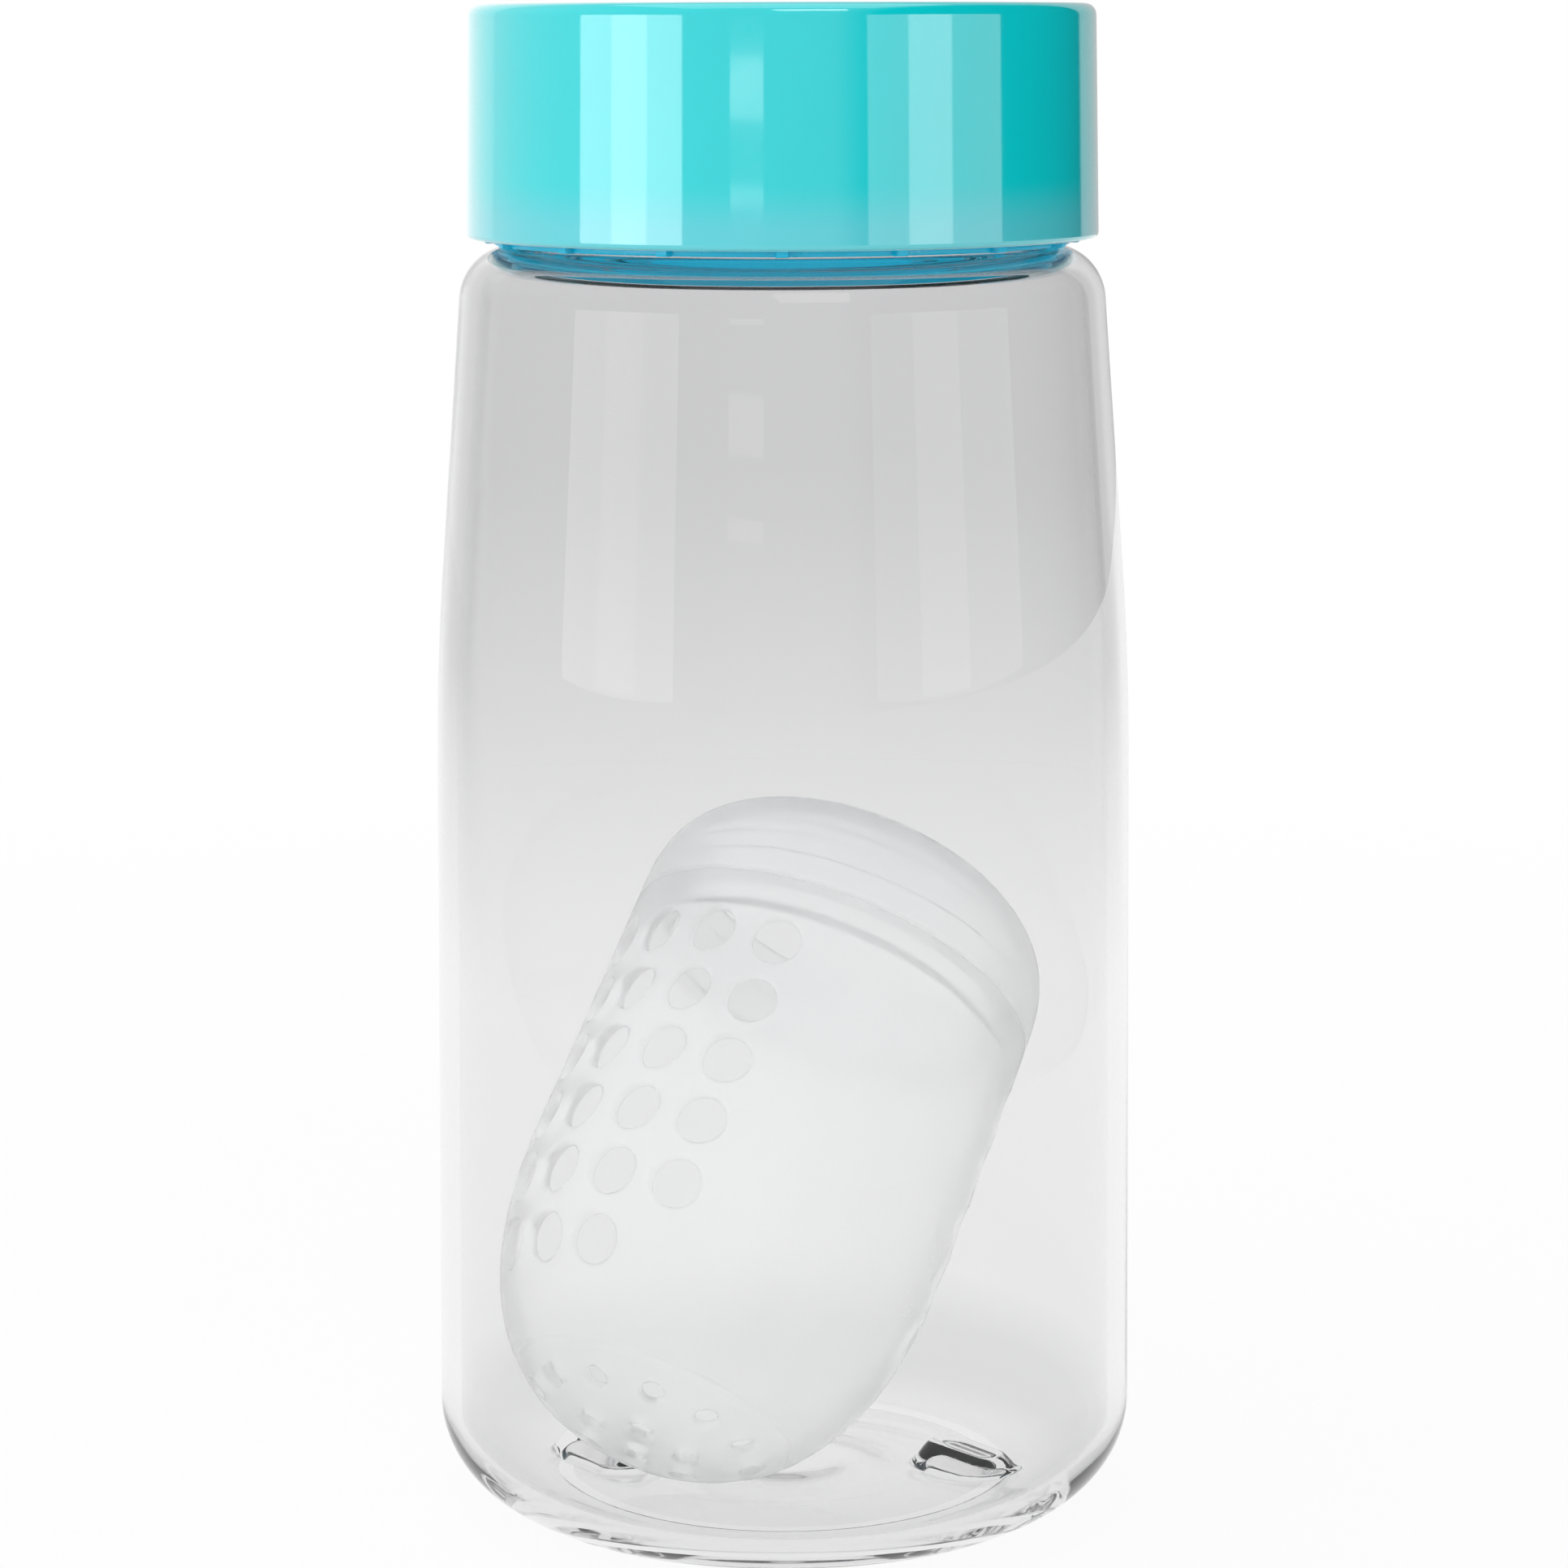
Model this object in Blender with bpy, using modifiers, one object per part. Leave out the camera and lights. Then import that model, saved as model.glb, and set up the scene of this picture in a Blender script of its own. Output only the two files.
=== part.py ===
"""Infuser water bottle: a clear bottle with a turquoise screw lid and a loose two-part infuser capsule.

Metres, +Z up, the standing ring on z = 0 and the bottle's axis on the Z axis. The viewer's side is -Y.
"""

import math

import bmesh
import bpy
import numpy as np
from mathutils import Matrix, Vector

MM = 0.001

# General
clearance = 0.3 * MM
cut_overrun = 1.0 * MM
merge_distance = 0.01 * MM
body_steps = 48
capsule_steps = 36

# Bottle, outside
base_radius = 38.75 * MM
waist_radius = 38.0 * MM
waist_height = 94.5 * MM
waist_bend = 10.0 * MM
shoulder_radius = 35.05 * MM
shoulder_rise = 6.1 * MM
neck_foot_height = 140.1 * MM
neck_radius = 28.9 * MM
neck_height = 20.3 * MM
rim_edge = 0.4 * MM

# Bottle, base
base_corner_height = 11.6 * MM
foot_outer_radius = 26.0 * MM
foot_width = 2.0 * MM
foot_depth = 1.0 * MM
foot_slope = 1.2 * MM
base_dome_radius = 9.5 * MM
base_dome_slope = 3.2 * MM
base_dome_height = 2.0 * MM

# Bottle, walls
wall = 2.2 * MM
neck_wall = 2.1 * MM

# Lugs pressed up into the base, one on each side
lug_count = 2
lug_inner_radius = 14.5 * MM
lug_length = 13.0 * MM
lug_width = 6.6 * MM
lug_height = 2.8 * MM
lug_edge = 1.2 * MM
lug_wall = 1.6 * MM
lug_pocket_length = 6.0 * MM
lug_turn_deg = 3.0

# Neck thread: two starts, so that one turn raises the lid by the lead
thread_starts = 2
thread_lead = 8.0 * MM
thread_turns = 0.8
thread_ridge_radius = 0.85 * MM
thread_sink = 0.05 * MM
thread_first_height = 5.6 * MM
thread_points_a_turn = 48
thread_run_out_share = 0.1
thread_tip_share = 0.45

# Lid
lid_seal_thickness = 1.4 * MM
seal_width = 3.6 * MM
seal_edge = 0.3 * MM
insert_top_wall = 1.3 * MM
insert_skirt_wall = 1.2 * MM
insert_bore_gap = 1.1 * MM
insert_rib_count = 16
insert_rib_width = 1.3 * MM
plug_ring_wall = 1.0 * MM
plug_ring_height = 3.0 * MM
plug_ring_gap = 1.2 * MM
shell_top_wall = 1.8 * MM
shell_rim_wall = 1.7 * MM
shell_flare = 0.5 * MM
shell_foot_gap = 0.9 * MM
shell_top_round = 1.7 * MM
shell_rim_round = 0.55 * MM
insert_rim_setback = 1.1 * MM
rib_space = 1.0 * MM

# Infuser capsule, measured from the cup's pole along the capsule's own axis
capsule_radius = 24.0 * MM
capsule_length = 76.7 * MM
cup_dome_height = 32.2 * MM
cap_dome_height = 14.6 * MM
cap_height = 16.4 * MM
capsule_wall = 1.3 * MM
cup_dome_power = 2.35
cap_dome_power = 2.65
cup_dome_points = 8
cap_dome_points = 7
cup_neck_radius = 20.5 * MM
cup_neck_height = 9.0 * MM
cup_neck_wall = 1.4 * MM
cup_shoulder_slope = 2.6 * MM
capsule_thread_pitch = 2.4 * MM
capsule_thread_turns = 2.0
capsule_thread_points_a_turn = 24
capsule_ridge_radius = 0.5 * MM
capsule_thread_first_height = 3.5 * MM

# Holes in the cup: a panel on each half, with its middle columns one row longer
panel_count = 2
panel_columns = 5
panel_turn_deg = -112.0
hole_column_deg = 19.0
hole_row_pitch = 7.5 * MM
hole_first_row = 15.0 * MM
hole_last_row_below_seam = 7.8 * MM
hole_radius = 2.75 * MM
hole_sides = 8
drain_ring_radii = (0.0, 6.3 * MM, 12.4 * MM)
drain_ring_counts = (1, 6, 12)
drain_radius = 1.25 * MM
drain_sides = 8

# How the loose capsule leans in the bottle
lean_direction_deg = 58.5
lean_sideways = -1.7 * MM
lean_least_deg = 5.0
lean_most_deg = 80.0
infuser_gap = 0.35 * MM
seat_rows = 140
seat_columns = 181
seat_halvings = 30

# Derived sizes of the bottle
shoulder_height = neck_foot_height - shoulder_rise
mouth_height = neck_foot_height + neck_height
foot_inner_radius = foot_outer_radius - foot_width
recess_radius = foot_inner_radius - foot_slope
neck_bore_radius = neck_radius - neck_wall
lug_middle_radius = lug_inner_radius + lug_length / 2
lug_pad_top = foot_depth + wall + lug_height
taper_angle = math.atan2(waist_radius - shoulder_radius, shoulder_height - waist_height)

# Derived sizes of the lid
seal_bottom = mouth_height + clearance
insert_ceiling = seal_bottom + lid_seal_thickness + clearance
insert_top = insert_ceiling + insert_top_wall
shell_ceiling = insert_top + clearance
lid_top = shell_ceiling + shell_top_wall
insert_bore_radius = neck_radius + insert_bore_gap
insert_outer_radius = insert_bore_radius + insert_skirt_wall
shell_inner_radius = insert_outer_radius + rib_space + clearance
shell_rim_radius = shell_inner_radius + shell_rim_wall
shell_top_radius = shell_rim_radius - shell_flare
shell_bottom = neck_foot_height + shell_foot_gap
insert_bottom = shell_bottom + insert_rim_setback
plug_ring_outer_radius = neck_bore_radius - plug_ring_gap
seal_outer_radius = insert_bore_radius - clearance
seal_inner_radius = seal_outer_radius - seal_width

# Derived sizes of the neck thread and of the lid's thread under it
thread_bottom = neck_foot_height + thread_first_height
neck_ridge_centre = neck_radius - thread_sink
lid_ridge_centre = insert_bore_radius + thread_sink
ridge_distance = 2 * thread_ridge_radius + clearance
thread_drop = math.sqrt(max(ridge_distance**2 - (lid_ridge_centre - neck_ridge_centre)**2, 0))

# Derived sizes of the infuser: the cup holds as many rows of holes as fit between its first and its last
capsule_seam = capsule_length - cap_height
panel_height = capsule_seam - hole_last_row_below_seam - hole_first_row
panel_rows = 1 + round(panel_height / hole_row_pitch)


def plastic(name, colour, roughness, transmission=0.0, alpha=1.0):
    """A Principled material of one colour."""
    material = bpy.data.materials.new(name)
    material.use_nodes = True
    shader = material.node_tree.nodes["Principled BSDF"]
    shader.inputs["Base Color"].default_value = (*colour, 1.0)
    shader.inputs["Roughness"].default_value = roughness
    shader.inputs["Metallic"].default_value = 0.0
    shader.inputs["Transmission Weight"].default_value = transmission
    shader.inputs["Alpha"].default_value = alpha
    material.diffuse_color = (*colour, alpha)
    return material


def clear_scene():
    """Empties the scene of every object."""
    for thing in list(bpy.data.objects):
        bpy.data.objects.remove(thing, do_unlink=True)


def new_collection(name):
    """A collection of the scene."""
    collection = bpy.data.collections.new(name)
    bpy.context.scene.collection.children.link(collection)
    return collection


def new_object(name, mesh, collection, material=None):
    """An object that shows a mesh."""
    thing = bpy.data.objects.new(name, mesh)
    collection.objects.link(thing)
    if material is not None:
        mesh.materials.append(material)
    return thing


def as_cutter(thing):
    """Hides an object that only cuts or joins another."""
    thing.hide_render = True
    thing.display_type = "WIRE"
    return thing


def ellipse_arc(centre, radii, start_deg, end_deg, count):
    """Points on an ellipse from one angle to another, both ends included; 0 degrees is outward, 90 is up."""
    angles = np.radians(np.linspace(start_deg, end_deg, count))
    return [(centre[0] + radii[0] * math.cos(a), centre[1] + radii[1] * math.sin(a)) for a in angles]


def eased_step(start, end, count):
    """Points of a smooth step from one radius and height to another, level at both ends."""
    shares = np.linspace(0.0, 1.0, count)
    rises = 0.5 - 0.5 * np.cos(math.pi * shares)
    return [
        (start[0] + (end[0] - start[0]) * along, start[1] + (end[1] - start[1]) * rise)
        for along, rise in zip(shares, rises)
    ]


def bend(start, corner, end, count):
    """Points of a soft bend: the parabola that leaves the start and meets the end along the lines to the corner."""
    shares = np.linspace(0.0, 1.0, count)
    return [
        tuple((1 - t)**2 * a + 2 * t * (1 - t) * b + t**2 * c for a, b, c in zip(start, corner, end))
        for t in shares
    ]


def dome(radius, height, power, count):
    """Points of a rounded dome from its pole at height 0 to its full radius, as a superellipse."""
    angles = np.linspace(0.0, math.pi / 2, count)
    radii = radius * np.sin(angles)**(2 / power)
    heights = height * (1 - np.clip(np.cos(angles), 0.0, 1.0)**(2 / power))
    return list(zip(radii.tolist(), heights.tolist()))


def turned(name, outline, steps, collection, material=None, closed=False):
    """A solid turned round the Z axis from an outline that runs down its outer side."""
    mesh = bpy.data.meshes.new(name)
    points = [(radius, 0.0, height) for radius, height in outline]
    edges = [(i, i + 1) for i in range(len(points) - 1)]
    if closed:
        edges.append((len(points) - 1, 0))
    mesh.from_pydata(points, edges, [])
    thing = new_object(name, mesh, collection, material)
    screw = thing.modifiers.new("turn", "SCREW")
    screw.axis = "Z"
    screw.angle = 2 * math.pi
    screw.steps = steps
    screw.render_steps = steps
    screw.use_merge_vertices = True
    screw.merge_threshold = merge_distance
    screw.use_smooth_shade = True
    return thing


def boolean(thing, other, operation):
    """Joins another object's shape to this one, or cuts it out."""
    modifier = thing.modifiers.new(operation.lower(), "BOOLEAN")
    modifier.operation = operation
    modifier.solver = "EXACT"
    modifier.object = other
    return modifier


def helix_ridges(name, radius, ridge_radius, lead, starts, turns, points_a_turn, first_height, collection):
    """Thread ridges: one round tube a start, wound right-handed and drawn thin where it runs out."""
    curve = bpy.data.curves.new(name, "CURVE")
    curve.dimensions = "3D"
    curve.bevel_depth = ridge_radius
    curve.bevel_resolution = 1
    curve.use_fill_caps = True
    count = math.ceil(points_a_turn * turns) + 1
    for start in range(starts):
        spline = curve.splines.new("POLY")
        spline.points.add(count - 1)
        shares = np.linspace(0.0, 1.0, count)
        for point, share in zip(spline.points, shares):
            angle = 2 * math.pi * (start / starts + turns * share)
            point.co = (radius * math.cos(angle), radius * math.sin(angle), first_height + lead * turns * share, 1.0)
            nearest_end_share = min(share, 1 - share) / thread_run_out_share
            point.radius = thread_tip_share + (1 - thread_tip_share) * min(nearest_end_share, 1.0)
    tube = bpy.data.objects.new(name + "_curve", curve)
    collection.objects.link(tube)
    return as_cutter(curve_to_mesh(name, tube, collection))


def curve_to_mesh(name, tube, collection):
    """Turns a curve object into a mesh object with its caps welded, and removes the curve."""
    depsgraph = bpy.context.evaluated_depsgraph_get()
    mesh = bpy.data.meshes.new_from_object(tube.evaluated_get(depsgraph))
    work = bmesh.new()
    work.from_mesh(mesh)
    bmesh.ops.remove_doubles(work, verts=work.verts, dist=merge_distance)
    bmesh.ops.recalc_face_normals(work, faces=work.faces)
    work.to_mesh(mesh)
    work.free()
    mesh.name = name
    thing = new_object(name, mesh, collection)
    thing.matrix_world = tube.matrix_world.copy()
    bpy.data.objects.remove(tube, do_unlink=True)
    return thing


def boxes(name, places, size, edge, collection):
    """Boxes of one size with rounded edges, one at each place, in one object."""
    work = bmesh.new()
    for place in places:
        bmesh.ops.create_cube(work, size=1.0, matrix=place @ Matrix.Diagonal((*size, 1.0)))
    if edge:
        bmesh.ops.bevel(work, geom=work.edges[:], offset=edge, segments=2, profile=0.5, affect="EDGES")
    mesh = bpy.data.meshes.new(name)
    work.to_mesh(mesh)
    work.free()
    return as_cutter(new_object(name, mesh, collection))


def outer_outline():
    """The bottle's outside, from the mouth's rim down to the middle of the base."""
    rim = [(neck_radius - rim_edge, mouth_height), (neck_radius, mouth_height - rim_edge)]
    round_radii = (shoulder_radius - neck_radius, neck_foot_height - shoulder_height)
    shoulder = ellipse_arc((neck_radius, shoulder_height), round_radii, 90, 0, 6)
    above = (waist_radius - waist_bend * math.tan(taper_angle), waist_height + waist_bend)
    below_share = waist_bend / waist_height
    below = (waist_radius + (base_radius - waist_radius) * below_share, waist_height - waist_bend)
    waist = bend(above, (waist_radius, waist_height), below, 4)
    corner_radii = (base_radius - foot_outer_radius, base_corner_height)
    corner = ellipse_arc((foot_outer_radius, base_corner_height), corner_radii, 0, -90, 7)
    foot = eased_step((foot_inner_radius, 0.0), (recess_radius, foot_depth), 3)
    dome_edge = base_dome_radius + base_dome_slope
    middle = eased_step((dome_edge, foot_depth), (base_dome_radius, foot_depth + base_dome_height), 3)
    return rim + shoulder + waist + corner + foot + middle + [(0.0, foot_depth + base_dome_height)]


def floor_outline():
    """The bottle's inner floor, from its middle out to the start of the inner corner."""
    dome_edge = base_dome_radius + base_dome_slope
    high = wall + foot_depth + base_dome_height
    middle = eased_step((base_dome_radius, high), (dome_edge, wall + foot_depth), 3)
    foot = eased_step((recess_radius, wall + foot_depth), (foot_inner_radius, wall), 3)
    return [(0.0, high)] + middle + foot


def inner_wall_outline():
    """The bottle's inner wall, from the start of the inner corner up to the mouth's rim."""
    corner_radii = (base_radius - wall - foot_outer_radius, base_corner_height - wall)
    corner = ellipse_arc((foot_outer_radius, base_corner_height), corner_radii, -90, 0, 6)
    above = (waist_radius - wall - waist_bend * math.tan(taper_angle), waist_height + waist_bend)
    below_share = waist_bend / waist_height
    below = (waist_radius - wall + (base_radius - waist_radius) * below_share, waist_height - waist_bend)
    waist = bend(below, (waist_radius - wall, waist_height), above, 4)
    round_radii = (shoulder_radius - wall - neck_bore_radius, neck_foot_height - shoulder_height)
    shoulder = ellipse_arc((neck_bore_radius, shoulder_height - wall), round_radii, 0, 90, 4)
    rim = [(neck_bore_radius, mouth_height - rim_edge), (neck_bore_radius + rim_edge, mouth_height)]
    return corner + waist + shoulder + rim


def lug_angles():
    """The lugs' directions from the bottle's axis."""
    return [math.radians(lug_turn_deg) + 2 * math.pi * number / lug_count for number in range(lug_count)]


def lug_places(middle_radius, middle_height):
    """Places in the lugs' directions at one radius and height, one on each side of the base."""
    middle = Matrix.Translation((middle_radius, 0.0, middle_height))
    return [Matrix.Rotation(angle, 4, "Z") @ middle for angle in lug_angles()]


def floor_height(places):
    """Height of the bottle's floor, lugs included, under points given as rows of x and y."""
    floor = np.array(floor_outline())
    height = np.interp(np.hypot(places[:, 0], places[:, 1]), floor[:, 0], floor[:, 1])
    for angle in lug_angles():
        outward = places @ np.array([math.cos(angle), math.sin(angle)])
        sideways = places @ np.array([-math.sin(angle), math.cos(angle)])
        on_pad = (abs(outward - lug_middle_radius) < lug_length / 2) & (abs(sideways) < lug_width / 2)
        height = np.where(on_pad, np.maximum(height, lug_pad_top), height)
    return height


def make_bottle(collection, cutters, material):
    """The bottle with its neck thread and the two lugs, each a raised pad with a pocket under its inner end."""
    outline = floor_outline() + inner_wall_outline() + outer_outline()
    bottle = turned("bottle", outline, body_steps, collection, material)
    ridges = helix_ridges(
        "neck_thread", neck_ridge_centre, thread_ridge_radius, thread_lead, thread_starts, thread_turns,
        thread_points_a_turn, thread_bottom, cutters,
    )
    boolean(bottle, ridges, "UNION")
    pad_bottom = foot_depth + wall / 2
    pad_size = (lug_length, lug_width, lug_pad_top - pad_bottom)
    pad_places = lug_places(lug_middle_radius, (pad_bottom + lug_pad_top) / 2)
    boolean(bottle, boxes("lug_pads", pad_places, pad_size, lug_edge, cutters), "UNION")
    pocket_top = lug_pad_top - lug_wall
    pocket_size = (lug_pocket_length, lug_width - 2 * lug_wall, pocket_top + cut_overrun)
    pocket_middle_radius = lug_inner_radius + lug_wall + lug_pocket_length / 2
    pocket_places = lug_places(pocket_middle_radius, (pocket_top - cut_overrun) / 2)
    boolean(bottle, boxes("lug_pockets", pocket_places, pocket_size, lug_edge / 2, cutters), "DIFFERENCE")
    return bottle


def make_lid_seal(collection, material):
    """The soft ring between the mouth's rim and the lid's ceiling."""
    top = seal_bottom + lid_seal_thickness
    outline = [
        (seal_outer_radius - seal_edge, top),
        (seal_outer_radius, top - seal_edge),
        (seal_outer_radius, seal_bottom + seal_edge),
        (seal_outer_radius - seal_edge, seal_bottom),
        (seal_inner_radius + seal_edge, seal_bottom),
        (seal_inner_radius, seal_bottom + seal_edge),
        (seal_inner_radius, top - seal_edge),
        (seal_inner_radius + seal_edge, top),
    ]
    return turned("lid_seal", outline, body_steps, collection, material, closed=True)


def make_lid_insert(collection, cutters, material):
    """The lid's inner threaded cup, with a plug ring inside the mouth and ribs that carry the shell."""
    plug_inner_radius = plug_ring_outer_radius - plug_ring_wall
    plug_bottom = insert_ceiling - plug_ring_height
    outline = [
        (0.0, insert_top),
        (insert_outer_radius, insert_top),
        (insert_outer_radius, insert_bottom),
        (insert_bore_radius, insert_bottom),
        (insert_bore_radius, insert_ceiling),
        (plug_ring_outer_radius, insert_ceiling),
        (plug_ring_outer_radius, plug_bottom),
        (plug_inner_radius, plug_bottom),
        (plug_inner_radius, insert_ceiling),
        (0.0, insert_ceiling),
    ]
    insert = turned("lid_insert", outline, body_steps, collection, material)
    lid_thread_bottom = thread_bottom - thread_drop
    ridges = helix_ridges(
        "lid_thread", lid_ridge_centre, thread_ridge_radius, thread_lead, thread_starts, thread_turns,
        thread_points_a_turn, lid_thread_bottom, cutters,
    )
    boolean(insert, ridges, "UNION")
    rib_inner_radius = insert_outer_radius - insert_skirt_wall / 2
    rib_outer_radius = shell_inner_radius - clearance
    rib_size = (rib_outer_radius - rib_inner_radius, insert_rib_width, insert_top - insert_bottom)
    places = []
    for number in range(insert_rib_count):
        angle = 2 * math.pi * (number / insert_rib_count) - math.pi / 2
        middle = ((rib_inner_radius + rib_outer_radius) / 2, 0.0, (insert_top + insert_bottom) / 2)
        places.append(Matrix.Rotation(angle, 4, "Z") @ Matrix.Translation(middle))
    boolean(insert, boxes("insert_ribs", places, rib_size, 0.0, cutters), "UNION")
    return insert


def make_lid_shell(collection, material):
    """The lid's glossy outer shell: a shallow upturned cup, flared a little towards its rim."""
    top_corner = ellipse_arc(
        (shell_top_radius - shell_top_round, lid_top - shell_top_round),
        (shell_top_round, shell_top_round), 90, 0, 6,
    )
    rim_corner = ellipse_arc(
        (shell_rim_radius - shell_rim_round, shell_bottom + shell_rim_round),
        (shell_rim_round, shell_rim_round), 0, -90, 3,
    )
    inner_rim = ellipse_arc(
        (shell_inner_radius + shell_rim_round, shell_bottom + shell_rim_round),
        (shell_rim_round, shell_rim_round), -90, -180, 3,
    )
    outline = [(0.0, lid_top)] + top_corner + rim_corner + inner_rim
    outline += [(shell_inner_radius, shell_ceiling), (0.0, shell_ceiling)]
    return turned("lid_shell", outline, body_steps, collection, material)


def capsule_outline():
    """The closed capsule's outside, from the cup's pole to the cap's top."""
    cup = dome(capsule_radius, cup_dome_height, cup_dome_power, cup_dome_points)
    cap = dome(capsule_radius, cap_dome_height, cap_dome_power, cap_dome_points)
    return cup + [(radius, capsule_length - height) for radius, height in reversed(cap)]


def make_infuser_cup(collection, cutters, material):
    """The capsule's perforated cup with its threaded neck, pole at the origin and axis on Z."""
    cup_top = capsule_seam
    neck_top = cup_top + cup_neck_height
    bore_radius = cup_neck_radius - cup_neck_wall
    inner_radius = capsule_radius - capsule_wall
    inner_dome = dome(inner_radius, cup_dome_height - capsule_wall, cup_dome_power, cup_dome_points - 1)
    inside = [(radius, capsule_wall + height) for radius, height in inner_dome]
    inside += [
        (inner_radius, cup_top - capsule_wall - cup_shoulder_slope),
        (bore_radius, cup_top - capsule_wall),
        (bore_radius, neck_top),
    ]
    outside = [(cup_neck_radius, neck_top), (cup_neck_radius, cup_top), (capsule_radius, cup_top)]
    outside += list(reversed(dome(capsule_radius, cup_dome_height, cup_dome_power, cup_dome_points)))
    cup = turned("infuser_cup", inside + outside, capsule_steps, collection, material)
    ridges = helix_ridges(
        "cup_thread", cup_neck_radius, capsule_ridge_radius, capsule_thread_pitch, 1, capsule_thread_turns,
        capsule_thread_points_a_turn, cup_top + capsule_thread_first_height, cutters,
    )
    boolean(cup, ridges, "UNION")
    boolean(cup, hole_cutter(cutters), "DIFFERENCE")
    return cup


def surface_point(height, outline):
    """Radius and outward slope direction of the capsule's outside at a height along its axis."""
    radii, heights = np.array(outline).T
    step = hole_radius / 2
    radius = np.interp(height, heights, radii)
    ahead = np.interp(height + step, heights, radii)
    behind = np.interp(height - step, heights, radii)
    normal = Vector((2 * step, 0.0, -(ahead - behind))).normalized()
    return radius, normal


def hole_cutter(cutters):
    """Pins square to the wall where the cup's holes are, and upright pins for the drain holes at its pole."""
    work = bmesh.new()
    outline = capsule_outline()
    pin_length = 2 * (capsule_wall + cut_overrun)
    for panel in range(panel_count):
        for column in range(panel_columns):
            columns_off_middle = column - (panel_columns - 1) / 2
            angle_deg = panel_turn_deg + 360 * panel / panel_count + hole_column_deg * columns_off_middle
            first_row = 1 if column in (0, panel_columns - 1) else 0
            for row in range(first_row, panel_rows):
                height = hole_first_row + hole_row_pitch * row
                radius, normal = surface_point(height, outline)
                place = Vector((radius, 0.0, height)) - normal * capsule_wall / 2
                turn = Matrix.Rotation(math.radians(angle_deg), 4, "Z")
                pin = turn @ Matrix.Translation(place) @ normal.to_track_quat("Z", "Y").to_matrix().to_4x4()
                bmesh.ops.create_cone(
                    work, cap_ends=True, segments=hole_sides, radius1=hole_radius, radius2=hole_radius,
                    depth=pin_length, matrix=pin,
                )
    for ring_radius, count in zip(drain_ring_radii, drain_ring_counts):
        height = np.interp(ring_radius, *np.array(outline[:cup_dome_points]).T)
        for number in range(count):
            turn = Matrix.Rotation(2 * math.pi * number / count, 4, "Z")
            pin = turn @ Matrix.Translation((ring_radius, 0.0, height + capsule_wall / 2))
            bmesh.ops.create_cone(
                work, cap_ends=True, segments=drain_sides, radius1=drain_radius, radius2=drain_radius,
                depth=pin_length, matrix=pin,
            )
    mesh = bpy.data.meshes.new("cup_holes")
    work.to_mesh(mesh)
    work.free()
    return as_cutter(new_object("cup_holes", mesh, cutters))


def make_infuser_cap(collection, cutters, material):
    """The capsule's domed screw cap, in the same place as on the closed capsule."""
    cap_bottom = capsule_seam + clearance
    inner_radius = capsule_radius - capsule_wall
    outer_dome = dome(capsule_radius, cap_dome_height, cap_dome_power, cap_dome_points)
    inner_dome = dome(inner_radius, cap_dome_height - capsule_wall, cap_dome_power, cap_dome_points - 1)
    outline = [(radius, capsule_length - height) for radius, height in outer_dome]
    outline += [(capsule_radius, cap_bottom), (inner_radius, cap_bottom)]
    outline += [(radius, capsule_length - capsule_wall - height) for radius, height in reversed(inner_dome)]
    cap = turned("infuser_cap", outline, capsule_steps, collection, material)
    ridges = helix_ridges(
        "cap_thread", inner_radius, capsule_ridge_radius, capsule_thread_pitch, 1, capsule_thread_turns,
        capsule_thread_points_a_turn, capsule_seam + capsule_thread_first_height - capsule_thread_pitch / 2, cutters,
    )
    boolean(cap, ridges, "UNION")
    return cap


def seat_infuser():
    """The capsule's lean and the place of its pole, so that it rests on the floor and against the wall.

    For a trial lean the capsule is centred between the walls along its lean, lowered until it is one
    gap above the floor or a lug, and its least distance to the wall is measured. The lean that leaves one gap
    there is found by halving.
    """
    outline = np.array(capsule_outline())
    rows = np.linspace(0.0, len(outline) - 1, seat_rows)
    radii, heights = (np.interp(rows, np.arange(len(outline)), column)[:, None] for column in outline.T)
    angles = np.linspace(0.0, 2 * math.pi, seat_columns)
    local = np.stack([radii * np.cos(angles), radii * np.sin(angles), heights + 0 * angles], axis=-1).reshape(-1, 3)
    side = np.array(inner_wall_outline())
    direction = math.radians(lean_direction_deg)
    along = np.array([math.cos(direction), math.sin(direction)])
    across = np.array([math.sin(direction), -math.cos(direction)])

    def seat(lean):
        """The turned points' place and the least distance to the wall at one lean."""
        turn = Matrix.Rotation(direction - math.pi / 2, 3, "Z") @ Matrix.Rotation(-lean, 3, "X")
        points = local @ np.array(turn).T
        reach = points[:, :2] @ along
        pole = across * lean_sideways - along * (reach.max() + reach.min()) / 2
        flat = points[:, :2] + pole
        distance = np.hypot(flat[:, 0], flat[:, 1])
        over_floor = distance < lug_inner_radius + lug_length
        height = (floor_height(flat) - points[:, 2])[over_floor].max() + infuser_gap
        wall_radius = np.interp(points[:, 2] + height, side[:, 1], side[:, 0])
        return (wall_radius - distance).min(), (pole[0], pole[1], height)

    low, high = math.radians(lean_least_deg), math.radians(lean_most_deg)
    for _ in range(seat_halvings):
        middle = (low + high) / 2
        if seat(middle)[0] > infuser_gap:
            low = middle
        else:
            high = middle
    return low, seat(low)[1]


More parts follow.
